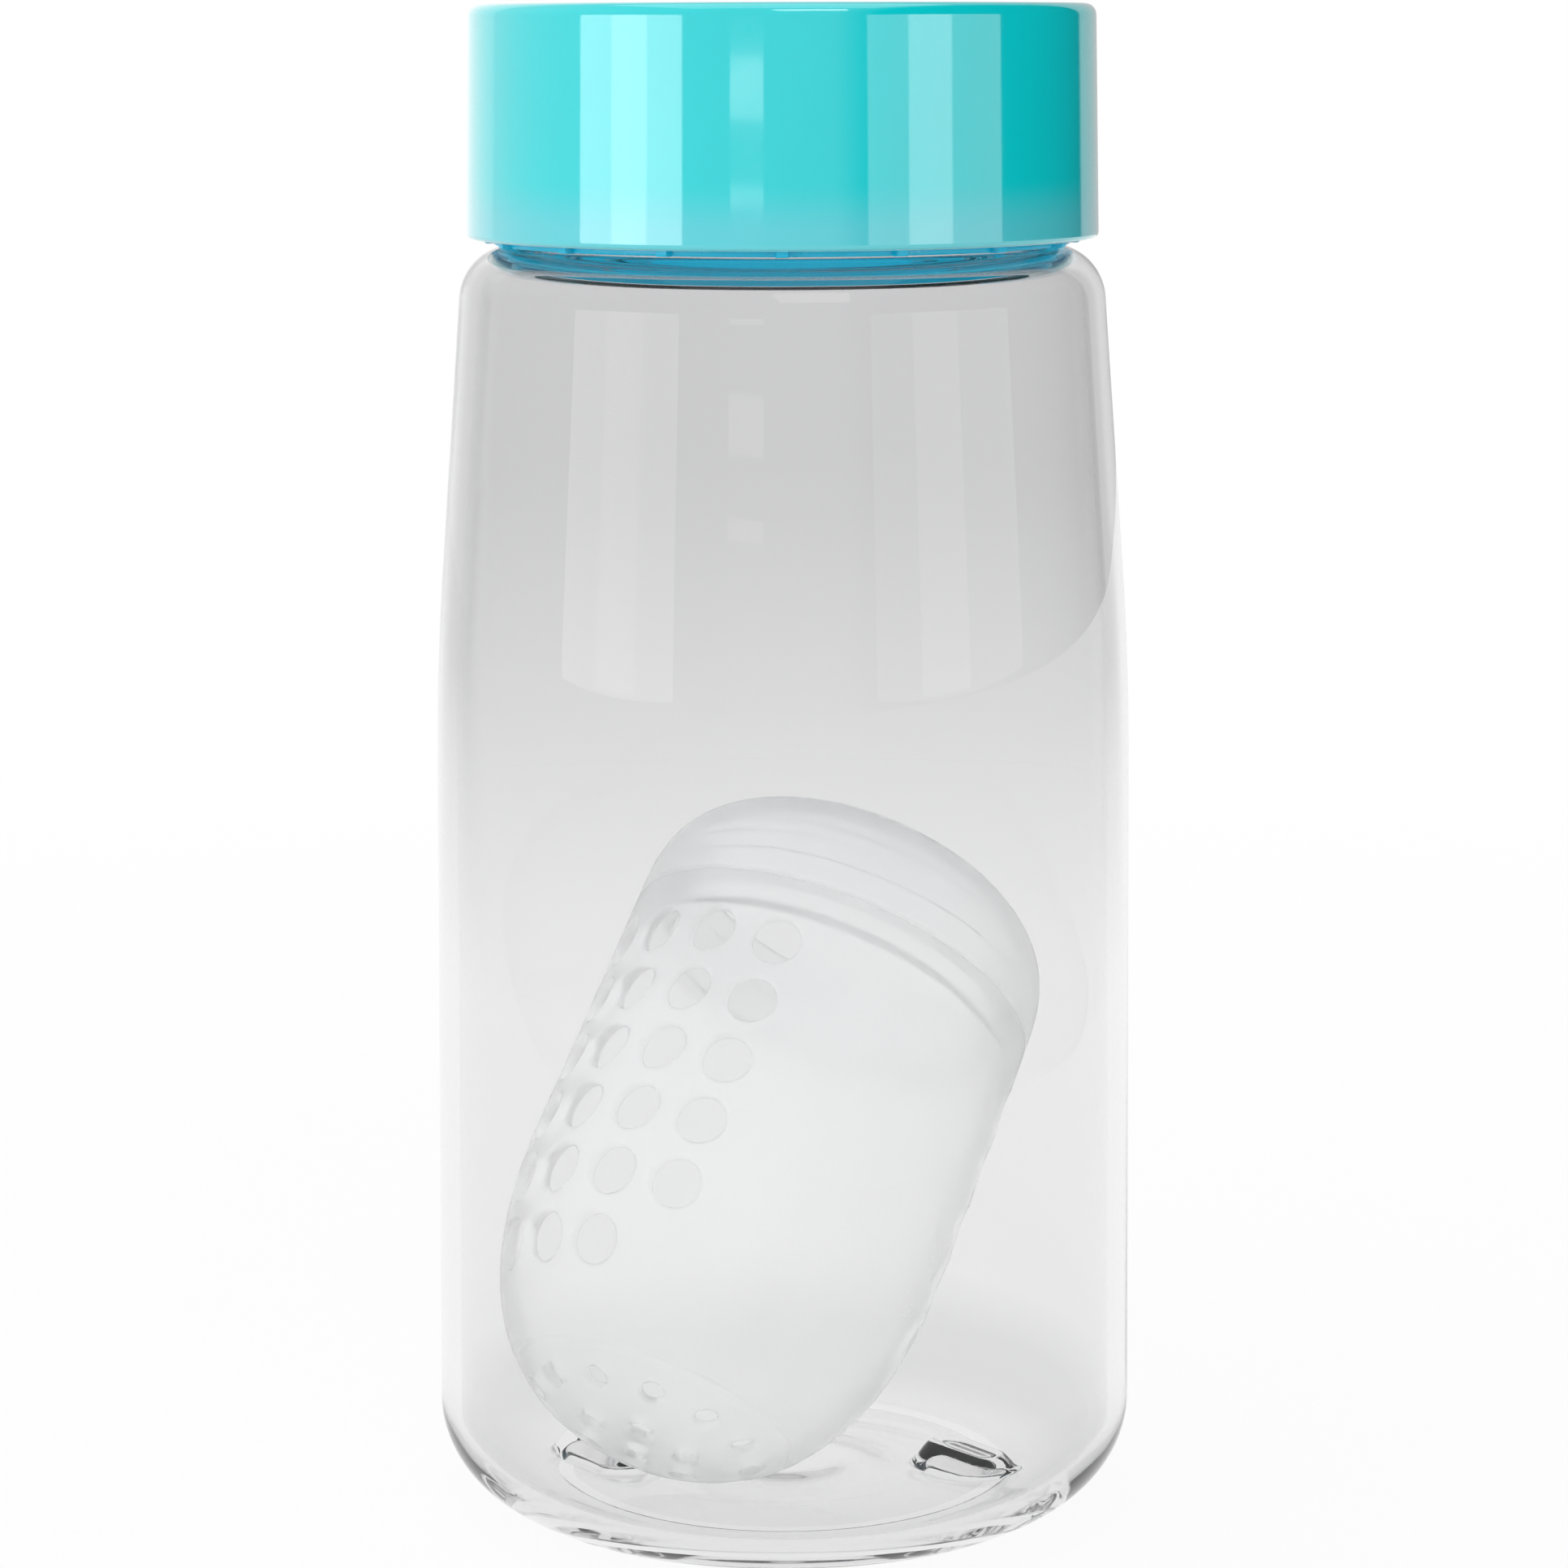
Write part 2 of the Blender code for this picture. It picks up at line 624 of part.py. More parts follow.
def main():
    """Makes every piece and places the lid's and the capsule's frames."""
    clear_scene()
    pieces = new_collection("infuser_water_bottle")
    cutters = new_collection("cutters")
    clear = plastic("clear_body", (0.93, 0.94, 0.95), 0.05, transmission=0.9, alpha=0.35)
    turquoise = plastic("lid_shell_gloss", (0.10, 0.72, 0.68), 0.15)
    turquoise_inner = plastic("lid_insert_plastic", (0.12, 0.66, 0.66), 0.35)
    silicone = plastic("seal_silicone", (0.86, 0.88, 0.88), 0.5)
    frosted = plastic("infuser_cup_frosted", (0.88, 0.88, 0.88), 0.5, transmission=0.4, alpha=0.8)
    frosted_cap = plastic("infuser_cap_frosted", (0.87, 0.87, 0.87), 0.5, transmission=0.4, alpha=0.8)

    make_bottle(pieces, cutters, clear)
    lid_frame = bpy.data.objects.new("lid_frame", None)
    pieces.objects.link(lid_frame)
    for piece in (
        make_lid_seal(pieces, silicone),
        make_lid_insert(pieces, cutters, turquoise_inner),
        make_lid_shell(pieces, turquoise),
    ):
        piece.parent = lid_frame

    lean, pole = seat_infuser()
    capsule_frame = bpy.data.objects.new("capsule_frame", None)
    pieces.objects.link(capsule_frame)
    capsule_frame.location = pole
    capsule_frame.rotation_euler = (-lean, 0.0, math.radians(lean_direction_deg) - math.pi / 2)
    capsule_cutters = []
    for piece in (make_infuser_cup(pieces, cutters, frosted), make_infuser_cap(pieces, cutters, frosted_cap)):
        piece.parent = capsule_frame
        capsule_cutters += [modifier.object for modifier in piece.modifiers if modifier.type == "BOOLEAN"]
    for cutter in capsule_cutters:
        cutter.parent = capsule_frame
    print(f"capsule lean {math.degrees(lean):.2f} degrees, pole at {[round(value / MM, 3) for value in pole]} mm")


main()
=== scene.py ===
"""Looks of an infuser water bottle: clear body, glossy turquoise screw lid, frosted capsule lying inside.

Shapes are worked out in millimetres and made into meshes in metres. +Z is up and the viewer's side is -Y.
"""

import math

import bmesh
import bpy
import numpy as np
from mathutils import Matrix, Vector


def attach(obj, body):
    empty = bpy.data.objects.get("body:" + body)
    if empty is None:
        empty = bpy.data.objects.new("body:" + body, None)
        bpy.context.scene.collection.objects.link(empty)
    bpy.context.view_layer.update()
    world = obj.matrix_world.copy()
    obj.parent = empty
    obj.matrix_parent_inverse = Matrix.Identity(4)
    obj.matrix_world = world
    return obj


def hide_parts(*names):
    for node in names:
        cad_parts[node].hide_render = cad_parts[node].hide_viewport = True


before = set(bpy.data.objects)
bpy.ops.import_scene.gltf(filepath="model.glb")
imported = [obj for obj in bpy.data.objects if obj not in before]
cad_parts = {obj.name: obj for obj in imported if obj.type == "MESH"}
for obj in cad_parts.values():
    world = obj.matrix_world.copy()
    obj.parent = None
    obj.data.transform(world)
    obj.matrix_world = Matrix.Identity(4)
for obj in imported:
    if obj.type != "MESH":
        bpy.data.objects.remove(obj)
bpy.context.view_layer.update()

MM = 0.001
TURN = 2 * math.pi

# Meshes: columns round each turned piece, how near points are merged, and from what angle edges are sharp
BOTTLE_COLUMNS, SHELL_COLUMNS, SEAL_COLUMNS, CUP_COLUMNS, CAP_COLUMNS = 224, 256, 192, 144, 160
MERGE_DISTANCE, SHARP_ANGLE = 0.001 * MM, math.radians(50)

# Bottle
BASE_RADIUS, WAIST_RADIUS, SHOULDER_RADIUS, NECK_RADIUS = 38.75, 38.0, 35.05, 28.9
BASE_CORNER_HEIGHT, WAIST_HEIGHT, WAIST_BEND = 11.6, 94.5, 10.0
SHOULDER_HEIGHT, NECK_FOOT_HEIGHT, MOUTH_HEIGHT = 134.0, 140.1, 160.4
WALL, NECK_WALL, SHOULDER_WALL = 2.2, 2.1, 2.0
RIM_ROUND, NECK_FOOT_ROUND, NECK_FOOT_FILLET = 0.6, 0.35, 0.4
FOOT_OUTER, FOOT_INNER, RECESS_RADIUS, FOOT_DEPTH, FOOT_BEAD = 26.0, 24.0, 15.0, 0.3, 0.12
DOME_RADIUS, DOME_SLOPE, DOME_HEIGHT, FLOOR_HEIGHT = 6.5, 8.0, 1.2, 2.8
TAPER = (WAIST_RADIUS - SHOULDER_RADIUS) / (SHOULDER_HEIGHT - WAIST_HEIGHT)
SPREAD = (BASE_RADIUS - WAIST_RADIUS) / WAIST_HEIGHT
SHOULDER_MIDDLE = NECK_RADIUS + NECK_FOOT_ROUND

# Lugs in the base: how far round and across they lie, and how much the columns crowd there
LUG_TURN, LUG_SLANT, LUG_CROWDING = math.radians(-7.0), math.radians(-51.0), 0.27

# The raised pads and the pockets under them: distance from the axis, half sizes, rounding and flank,
# and the height and radius under which they lift a surface, and the height they lift it to
PAD_SHAPE, PAD_LIMITS, LUG_TOP = (20.8, (7.8, 4.5), 4.3, 3.1), (7.0, 32.0), 5.6
POCKET_SHAPE, POCKET_LIMITS, POCKET_TOP = (20.8, (6.4, 3.3), 3.2, 1.8), (4.5, 25.5), 2.2

# How far apart rows lie on the bottle's walls. Each rule is a height, a radius and the gap under both,
# and the first that holds counts. The last gap is for what is left at the rim.
ANY_RADIUS, RIM_GAP = 99.0, 0.14
INSIDE_RULES = (
    (7.0, 13.8, 0.7), (7.0, 28.4, 0.33), (15.0, ANY_RADIUS, 0.8), (82.0, ANY_RADIUS, 3.5),
    (107.0, ANY_RADIUS, 1.6), (128.0, ANY_RADIUS, 3.0), (141.0, ANY_RADIUS, 0.5), (159.0, ANY_RADIUS, 2.0),
)
OUTSIDE_RULES = (
    (4.5, 15.5, 0.7), (4.5, 23.5, 0.33), (1.0, 26.6, 0.25), (15.0, ANY_RADIUS, 0.8),
    (82.0, ANY_RADIUS, 3.5), (107.0, ANY_RADIUS, 1.6), (130.0, ANY_RADIUS, 3.0), (142.0, ANY_RADIUS, 0.4),
    (144.5, ANY_RADIUS, 0.8), (154.5, ANY_RADIUS, 0.27), (159.2, ANY_RADIUS, 1.2),
)

# Threads: lead, starts, turns, rise, and half widths at the foot and at the crest
LID_THREAD, CAPSULE_THREAD = (8.0, 2, 0.8, 0.8, 0.85, 0.35), (2.4, 1, 2.0, 0.5, 0.5, 0.15)

# The height that a thread starts at, how much lower it starts in the lid and the cap, and the share of
# its length over which it sinks away at each end
THREAD_FIRST, THREAD_DROP, CUP_THREAD_FIRST, CAP_THREAD_DROP, THREAD_RUN_OUT = 145.7, 1.6, 63.8, 1.2, 0.1

# How near a threaded wall's radius a point still counts as on that wall, loosely and strictly
ON_WALL, NEAR_WALL = 0.05, 0.02

# How near the next point is on rounded edges of outlines, and how far from such points rows stay close
EDGE_STEP, EDGE_REACH = 0.6, 0.3

# How far apart mesh rows lie at rounded edges, on threads and elsewhere
SHELL_ROWS, INSERT_ROWS, CUP_NECK_ROWS = (0.15, 1.6, 1.6), (0.12, 0.27, 1.6), (0.15, 0.2, 1.0)
CAP_FINE_ROWS, CAP_PLAIN_ROWS = 0.2, 0.7

# Lid
SHELL_TOP, SHELL_BOTTOM, SHELL_CEILING = 165.8, 141.0, 164.0
SHELL_TOP_RADIUS, SHELL_RIM_RADIUS, SHELL_INNER = 33.7, 34.2, 32.5
SHELL_ROUNDS = (1.25, 0.55, 0.5, 0.8)
INSERT_TOP, INSERT_BOTTOM, INSERT_CEILING = 163.7, 140.3, 162.4
INSERT_BORE, INSERT_OUTER, RIB_OUTER, RIB_COUNT, RIB_WIDTH = 30.0, 31.2, 32.2, 16, 1.3
INSERT_ROUNDS = (0.3, 0.25, 0.25, 0.4, 0.3, 0.3, 0.3, 0.3)
PLUG_OUTER, PLUG_INNER, PLUG_BOTTOM = 25.6, 24.6, 159.4
SEAL_OUTER, SEAL_INNER, SEAL_BOTTOM, SEAL_TOP, SEAL_ROUND = 29.7, 26.1, 160.7, 162.1, 0.35

# Heights between which the insert's bore has close rows for its thread
INSERT_THREADED = (142.6, 153.0)

# A rib's section: places across it in half widths, and the share of its height at each
RIB_ACROSS = (-1.12, -1.0, -0.85, 0.0, 0.85, 1.0, 1.12)
RIB_SHARES, RIB_GAP_COLUMNS = (0.0, 0.85, 1.0, 1.0, 1.0, 0.85, 0.0), 7

# Where the ribs begin to stand out: beyond the bore on the skirt, and at a radius on the top
SKIRT_START, SKIRT_FADE, TOP_MARGIN, TOP_START, TOP_FADE = 0.3, 0.6, 0.2, 30.6, 0.3

# Infuser capsule, on its own axis from the cup's pole
CAPSULE_RADIUS, CAPSULE_LENGTH, CAPSULE_WALL, SEAM, CLEARANCE = 24.0, 76.7, 1.3, 60.3, 0.3
CUP_DOME, CUP_POWER, CAP_DOME, CAP_POWER, DOME_POINTS = 32.2, 2.35, 14.6, 2.65, 600
CUP_NECK_RADIUS, CUP_BORE, CUP_NECK_TOP, CUP_SHOULDER_SLOPE = 20.5, 19.1, 69.3, 2.6
CUP_NECK_ROUNDS, CAP_RIM_ROUNDS = (0.35, 0.3, 0.3, 0.3, 0.6, 0.4), (0.35, 0.3)
HOLE_RADIUS, HOLE_ROW_PITCH, HOLE_FIRST_ROW, HOLE_ROWS, HOLE_COLUMNS = 2.75, 7.5, 15.0, 6, 5
HOLE_COLUMN_ANGLE, PANEL_TURN, HOLE_ROUND = math.radians(19.0), math.radians(-112.0), 0.5
DRAIN_RADIUS, DRAIN_RINGS, DRAIN_EDGES = 1.25, ((6, 6.3), (12, 12.4)), (3.2, 9.35, 15.2)
DRAIN_TURN, POLE_HOLE_ROUND = math.radians(-165.0), 0.3
GROOVE_DEPTH, GROOVE_WIDTH, GROOVE_PLACE, GROOVE_BAND = 0.28, 0.28, 0.7, 0.2
LEAN, LEAN_DIRECTION, CAPSULE_POLE = math.radians(42.29), math.radians(58.5), (-16.011, -22.874, 11.324)

# Divisions of a hole's patch and of a plain side
CELL_DIVISIONS, SIDE_DIVISIONS = 8, 32

# Close rows: from a height up on the cup's neck, and in the cap up to a height, near its rim and its wall
CUP_THREADED, CAP_THREADED, CAP_RIM_REACH, CAP_WALL_REACH = 62.0, 68.5, 1.2, 0.4

# The part of the cap's inside that carries its thread: up to a height, and out from a radius
CAP_THREAD_TOP, CAP_THREAD_INNER = 70.0, 21.5


# Outlines

def arc(centre, radii, start_deg, end_deg, count=40):
    """Points on an ellipse: centre plus radii times (cosine, sine) of evenly spread angles."""
    angles = np.radians(np.linspace(start_deg, end_deg, count))
    return np.stack([centre[0] + radii[0] * np.cos(angles), centre[1] + radii[1] * np.sin(angles)], axis=1)


def ease(shares):
    """A smooth step from 0 to 1: 3 t squared less 2 t cubed, with t held between 0 and 1."""
    held = np.clip(shares, 0.0, 1.0)
    return held * held * (3 - 2 * held)


def eased_step(start, end, count=24):
    """A step in an outline that leaves and arrives level, by half a cosine wave."""
    shares = np.linspace(0.0, 1.0, count)
    rise = 0.5 - 0.5 * np.cos(math.pi * shares)
    return np.stack([start[0] + (end[0] - start[0]) * shares, start[1] + (end[1] - start[1]) * rise], axis=1)


def bend(start, corner, end, count=24):
    """A parabola that leaves the start and meets the end along the lines to the corner."""
    t = np.linspace(0.0, 1.0, count)[:, None]
    return (1 - t)**2 * np.array(start) + 2 * t * (1 - t) * np.array(corner) + t**2 * np.array(end)


def rounded(points, radii, count=7):
    """A polyline whose inner corners get arcs of the given radii that touch both of their sides."""
    points = np.array(points, float)
    rows = [points[:1]]
    for before, corner, after, radius in zip(points, points[1:], points[2:], radii):
        back, ahead = (side / np.linalg.norm(side) for side in (before - corner, after - corner))
        half = math.acos(float(np.clip(back @ ahead, -1.0, 1.0))) / 2
        middle = corner + (back + ahead) / np.linalg.norm(back + ahead) * radius / math.sin(half)
        first, last = (corner + side * radius / math.tan(half) - middle for side in (back, ahead))
        sweep = math.pi - 2 * half
        t = np.linspace(0.0, sweep, count)[:, None]
        rows.append(middle + (np.sin(sweep - t) * first + np.sin(t) * last) / math.sin(sweep))
    return np.concatenate(rows + [points[-1:]])


def spaced(outline, spacing, fine=0.05):
    """Points along an outline that lie as far apart as spacing(points) asks, its two ends kept.

    The outline is first cut fine, then the running sum of length over spacing is divided evenly.
    """
    run = np.concatenate([[0.0], np.cumsum(np.linalg.norm(np.diff(outline, axis=0), axis=1))])
    marks = np.linspace(0.0, run[-1], int(run[-1] / fine) + 2)
    cut = np.stack([np.interp(marks, run, column) for column in outline.T], axis=1)
    steps = np.linalg.norm(np.diff(cut, axis=0), axis=1) / spacing((cut[1:] + cut[:-1]) / 2)
    sums = np.concatenate([[0.0], np.cumsum(steps)])
    even = np.linspace(0.0, sums[-1], math.ceil(sums[-1]) + 1)
    return np.stack([np.interp(even, sums, column) for column in cut.T], axis=1)


def superellipse(radius, height, power, count=DOME_POINTS):
    """A dome's outline from its pole: radius times a sine, and height times one less a cosine.

    The sine and the cosine are raised to 2 over the power.
    """
    angles = np.linspace(0.0, math.pi / 2, count)
    cosines = np.clip(np.cos(angles), 0.0, 1.0)
    return np.stack([radius * np.sin(angles)**(2 / power), height * (1 - cosines**(2 / power))], axis=1)


# Meshes

def turned(outline, angles):
    """A grid of (radius, angle, height): each outline point carried round to every angle."""
    radius, height = (np.repeat(column[:, None], len(angles), axis=1) for column in outline.T)
    return radius, np.broadcast_to(angles, radius.shape), height


def upright(radius, angle, height):
    """Grid points from radius, angle and height."""
    return np.stack([radius * np.cos(angle), radius * np.sin(angle), height], axis=-1)


def grid_faces(rows, columns, ring):
    """Quads of a grid whose columns close round the axis; with ring its last row also meets its first."""
    index = np.arange(rows * columns).reshape(rows, columns)
    below = np.roll(index, -1, axis=0) if ring else index[1:]
    index = index if ring else index[:-1]
    corners = [index, np.roll(index, -1, axis=1), np.roll(below, -1, axis=1), below]
    return np.stack(corners, axis=-1).reshape(-1, 4)


def closed_grid(points, ring=False):
    """Points, quads and triangles of a closed turned surface. Without ring each end row closes on a pole."""
    rows, columns = points.shape[:2]
    quads = grid_faces(rows, columns, ring)
    flat = points.reshape(-1, 3)
    if ring:
        return flat, quads, np.zeros((0, 3), int)
    first, last = np.arange(columns), np.arange(columns) + (rows - 1) * columns
    poles = np.stack([points[0].mean(0), points[-1].mean(0)])
    start = np.stack([np.full(columns, len(flat)), np.roll(first, -1), first], axis=1)
    end = np.stack([np.full(columns, len(flat) + 1), last, np.roll(last, -1)], axis=1)
    return np.concatenate([flat, poles]), quads, np.concatenate([start, end])


def piece(name, parts, material, body, node, weld=False):
    """A smooth piece that stands for a CAD node and rides its body.

    Its parts are closed surfaces whose faces are turned outward, or with weld open ones that meet at
    their edges and are merged first.
    """
    points, loops, sizes, offset = [], [], [], 0
    for flat, quads, triangles in parts:
        corners = np.concatenate([quads[:, :3], quads[:, [0, 2, 3]], triangles])
        a, b, c = (flat[corners[:, i]] for i in range(3))
        if np.einsum("ij,ij->", a, np.cross(b, c)) < 0 and not weld:
            quads, triangles = quads[:, ::-1], triangles[:, ::-1]
        points.append(flat)
        loops += [(quads + offset).ravel(), (triangles + offset).ravel()]
        sizes += [np.full(len(quads), 4), np.full(len(triangles), 3)]
        offset += len(flat)
    points, loops, sizes = np.concatenate(points) * MM, np.concatenate(loops), np.concatenate(sizes)
    mesh = bpy.data.meshes.new(name)
    mesh.vertices.add(len(points))
    mesh.vertices.foreach_set("co", points.ravel())
    mesh.loops.add(len(loops))
    mesh.loops.foreach_set("vertex_index", loops)
    mesh.polygons.add(len(sizes))
    mesh.polygons.foreach_set("loop_start", np.cumsum(sizes) - sizes)
    mesh.polygons.foreach_set("use_smooth", np.ones(len(sizes), bool))
    mesh.update(calc_edges=True)
    if weld:
        work = bmesh.new()
        work.from_mesh(mesh)
        bmesh.ops.remove_doubles(work, verts=work.verts, dist=MERGE_DISTANCE)
        bmesh.ops.recalc_face_normals(work, faces=work.faces)
        work.to_mesh(mesh)
        work.free()
    mesh.set_sharp_from_angle(angle=SHARP_ANGLE)
    mesh.materials.append(material)
    thing = bpy.data.objects.new(name, mesh)
    bpy.context.scene.collection.objects.link(thing)
    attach(thing, body)
    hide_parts(node)


def thread_rise(angle, height, first, lead, starts, turns, rise, foot, crest):
    """How far thread ridges stand out at an angle and height.

    A ridge is a flat crest with sloped flanks round a line that climbs by the lead each turn, and it
    sinks away over the first and last tenth of its length.
    """
    out = np.zeros(np.broadcast(angle, height).shape)
    for start in range(starts):
        for wrap in range(math.ceil(turns)):
            phase = np.mod(angle / TURN - start / starts, 1.0) + wrap
            away = np.abs(height - first - lead * phase)
            run_out = ease(np.minimum(phase, turns - phase) / (THREAD_RUN_OUT * turns))
            out = np.maximum(out, rise * run_out * ease((foot - away) / (foot - crest)))
    return out


def pad(x, y, middle, half, rounding, flank):
    """1 on the lugs' rounded rectangles, falling to 0 over the flank towards their edges.

    The distance to a rounded rectangle's edge is the length beyond its inner corners less the rounding.
    """
    out = np.zeros_like(x)
    slant_x, slant_y = math.cos(LUG_SLANT), math.sin(LUG_SLANT)
    for side in (1, -1):
        from_x = x - side * middle * math.cos(LUG_TURN)
        from_y = y - side * middle * math.sin(LUG_TURN)
        along = np.abs(from_x * slant_x + from_y * slant_y) - half[0] + rounding
        across = np.abs(from_y * slant_x - from_x * slant_y) - half[1] + rounding
        beyond = np.hypot(np.maximum(along, 0.0), np.maximum(across, 0.0))
        edge = beyond + np.minimum(np.maximum(along, across), 0.0) - rounding
        out = np.maximum(out, ease(-edge / flank))
    return out


# Bottle

def bottle_inside():
    """The inner outline, from the floor's middle up to the rim."""
    bore, inner, high = NECK_RADIUS - NECK_WALL, WAIST_RADIUS - WALL, FLOOR_HEIGHT
    return np.concatenate([
        [(0.0, high + DOME_HEIGHT)],
        eased_step((DOME_RADIUS, high + DOME_HEIGHT), (DOME_RADIUS + DOME_SLOPE, high)),
        arc(
            (FOOT_OUTER, BASE_CORNER_HEIGHT),
            (BASE_RADIUS - WALL - FOOT_OUTER, BASE_CORNER_HEIGHT - high), -90, 0,
        ),
        bend(
            (inner + SPREAD * WAIST_BEND, WAIST_HEIGHT - WAIST_BEND), (inner, WAIST_HEIGHT),
            (inner - TAPER * WAIST_BEND, WAIST_HEIGHT + WAIST_BEND),
        ),
        arc(
            (SHOULDER_MIDDLE, SHOULDER_HEIGHT),
            (SHOULDER_RADIUS - SHOULDER_MIDDLE - WALL, NECK_FOOT_HEIGHT - SHOULDER_HEIGHT - SHOULDER_WALL),
            0, 90,
        ),
        arc(
            (bore + NECK_FOOT_FILLET, NECK_FOOT_HEIGHT - SHOULDER_WALL + NECK_FOOT_FILLET),
            (NECK_FOOT_FILLET, NECK_FOOT_FILLET), 270, 180, 8,
        ),
        arc((bore + RIM_ROUND, MOUTH_HEIGHT - RIM_ROUND), (RIM_ROUND, RIM_ROUND), 180, 90, 8),
    ])


def bottle_outside():
    """The outer outline, from the rim down to the middle of the pushed-up base."""
    corner = FOOT_OUTER + 2 * FOOT_BEAD
    return np.concatenate([
        arc((NECK_RADIUS - RIM_ROUND, MOUTH_HEIGHT - RIM_ROUND), (RIM_ROUND, RIM_ROUND), 90, 0, 8),
        arc(
            (SHOULDER_MIDDLE, NECK_FOOT_HEIGHT + NECK_FOOT_ROUND), (NECK_FOOT_ROUND, NECK_FOOT_ROUND),
            180, 270, 10,
        ),
        arc(
            (SHOULDER_MIDDLE, SHOULDER_HEIGHT),
            (SHOULDER_RADIUS - SHOULDER_MIDDLE, NECK_FOOT_HEIGHT - SHOULDER_HEIGHT), 90, 0,
        ),
        bend(
            (WAIST_RADIUS - TAPER * WAIST_BEND, WAIST_HEIGHT + WAIST_BEND), (WAIST_RADIUS, WAIST_HEIGHT),
            (WAIST_RADIUS + SPREAD * WAIST_BEND, WAIST_HEIGHT - WAIST_BEND),
        ),
        arc((corner, BASE_CORNER_HEIGHT), (BASE_RADIUS - corner, BASE_CORNER_HEIGHT - FOOT_BEAD), 0, -90),
        eased_step((corner, FOOT_BEAD), (FOOT_OUTER, 0.0), 8),
        eased_step((FOOT_INNER, 0.0), (RECESS_RADIUS, FOOT_DEPTH)),
        eased_step((DOME_RADIUS + DOME_SLOPE, FOOT_DEPTH), (DOME_RADIUS, FOOT_DEPTH + DOME_HEIGHT)),
        [(0.0, FOOT_DEPTH + DOME_HEIGHT)],
    ])


def wall_spacing(rules):
    """A rule for spaced: the gap of the first of the rules that holds at each place."""
    def spacing(places):
        radius, height = places.T
        held = [(height < high) & (radius < wide) for high, wide, gap in rules]
        return np.select(held, [gap for high, wide, gap in rules], RIM_GAP)

    return spacing


def lifted(outline, angles, limits, top, shape):
    """Grid radius, angle and height of a turned outline, its low middle lifted to a height on the lugs."""
    radius, angle, height = turned(outline, angles)
    low_middle = (height < limits[0]) & (radius < limits[1])
    lift = np.maximum(top - height, 0.0) * pad(radius * np.cos(angle), radius * np.sin(angle), *shape)
    return radius, angle, np.where(low_middle, height + lift, height)


def bottle_parts():
    """The bottle as one closed surface: turned outlines, lifted on the lugs and swelled along the thread.

    The columns crowd at the two lugs: each angle is moved by a share of the sine of twice itself.
    """
    even = np.linspace(0.0, TURN, BOTTLE_COLUMNS, endpoint=False)
    angles = LUG_TURN + even - LUG_CROWDING * np.sin(2 * even)
    inside = spaced(bottle_inside(), wall_spacing(INSIDE_RULES))[1:]
    outside = spaced(bottle_outside(), wall_spacing(OUTSIDE_RULES))[:-1]
    inner_grid = upright(*lifted(inside, angles, PAD_LIMITS, LUG_TOP, PAD_SHAPE))
    radius, angle, height = lifted(outside, angles, POCKET_LIMITS, POCKET_TOP, POCKET_SHAPE)
    ridge = thread_rise(angle, height, THREAD_FIRST, *LID_THREAD)
    radius = radius + np.where(np.abs(radius - NECK_RADIUS) < ON_WALL, ridge, 0.0)
    return [closed_grid(np.concatenate([inner_grid, upright(radius, angle, height)]))]


# Lid

def shell_parts():
    """The outer shell: a cup upside down with rounded top and rim edges, flared slightly towards the rim."""
    outline = rounded(
        [(0.0, SHELL_TOP), (SHELL_TOP_RADIUS, SHELL_TOP), (SHELL_RIM_RADIUS, SHELL_BOTTOM),
         (SHELL_INNER, SHELL_BOTTOM), (SHELL_INNER, SHELL_CEILING), (0.0, SHELL_CEILING)],
        SHELL_ROUNDS,
    )
    rows = spaced(outline, row_spacing(outline, SHELL_ROWS))[1:-1]
    return [closed_grid(upright(*turned(rows, np.linspace(0.0, TURN, SHELL_COLUMNS, endpoint=False))))]


def edge_near(places, outline):
    """True where the outline turns: close to points of it that have a near neighbour."""
    steps = np.linalg.norm(np.diff(outline, axis=0), axis=1)
    turning = outline[1:-1][(steps[1:] < EDGE_STEP) | (steps[:-1] < EDGE_STEP)]
    gaps = np.linalg.norm(places[:, None, :] - turning[None, :, :], axis=2)
    return gaps.min(axis=1) < EDGE_REACH


def row_spacing(outline, rows, threaded=lambda radius, height: False):
    """A rule for spaced: how far apart rows lie at rounded edges, on the threaded stretch, and elsewhere."""
    def spacing(places):
        at_edge, at_thread, elsewhere = rows
        smooth = np.where(threaded(*places.T), at_thread, elsewhere)
        return np.where(edge_near(places, outline), at_edge, smooth)

    return spacing


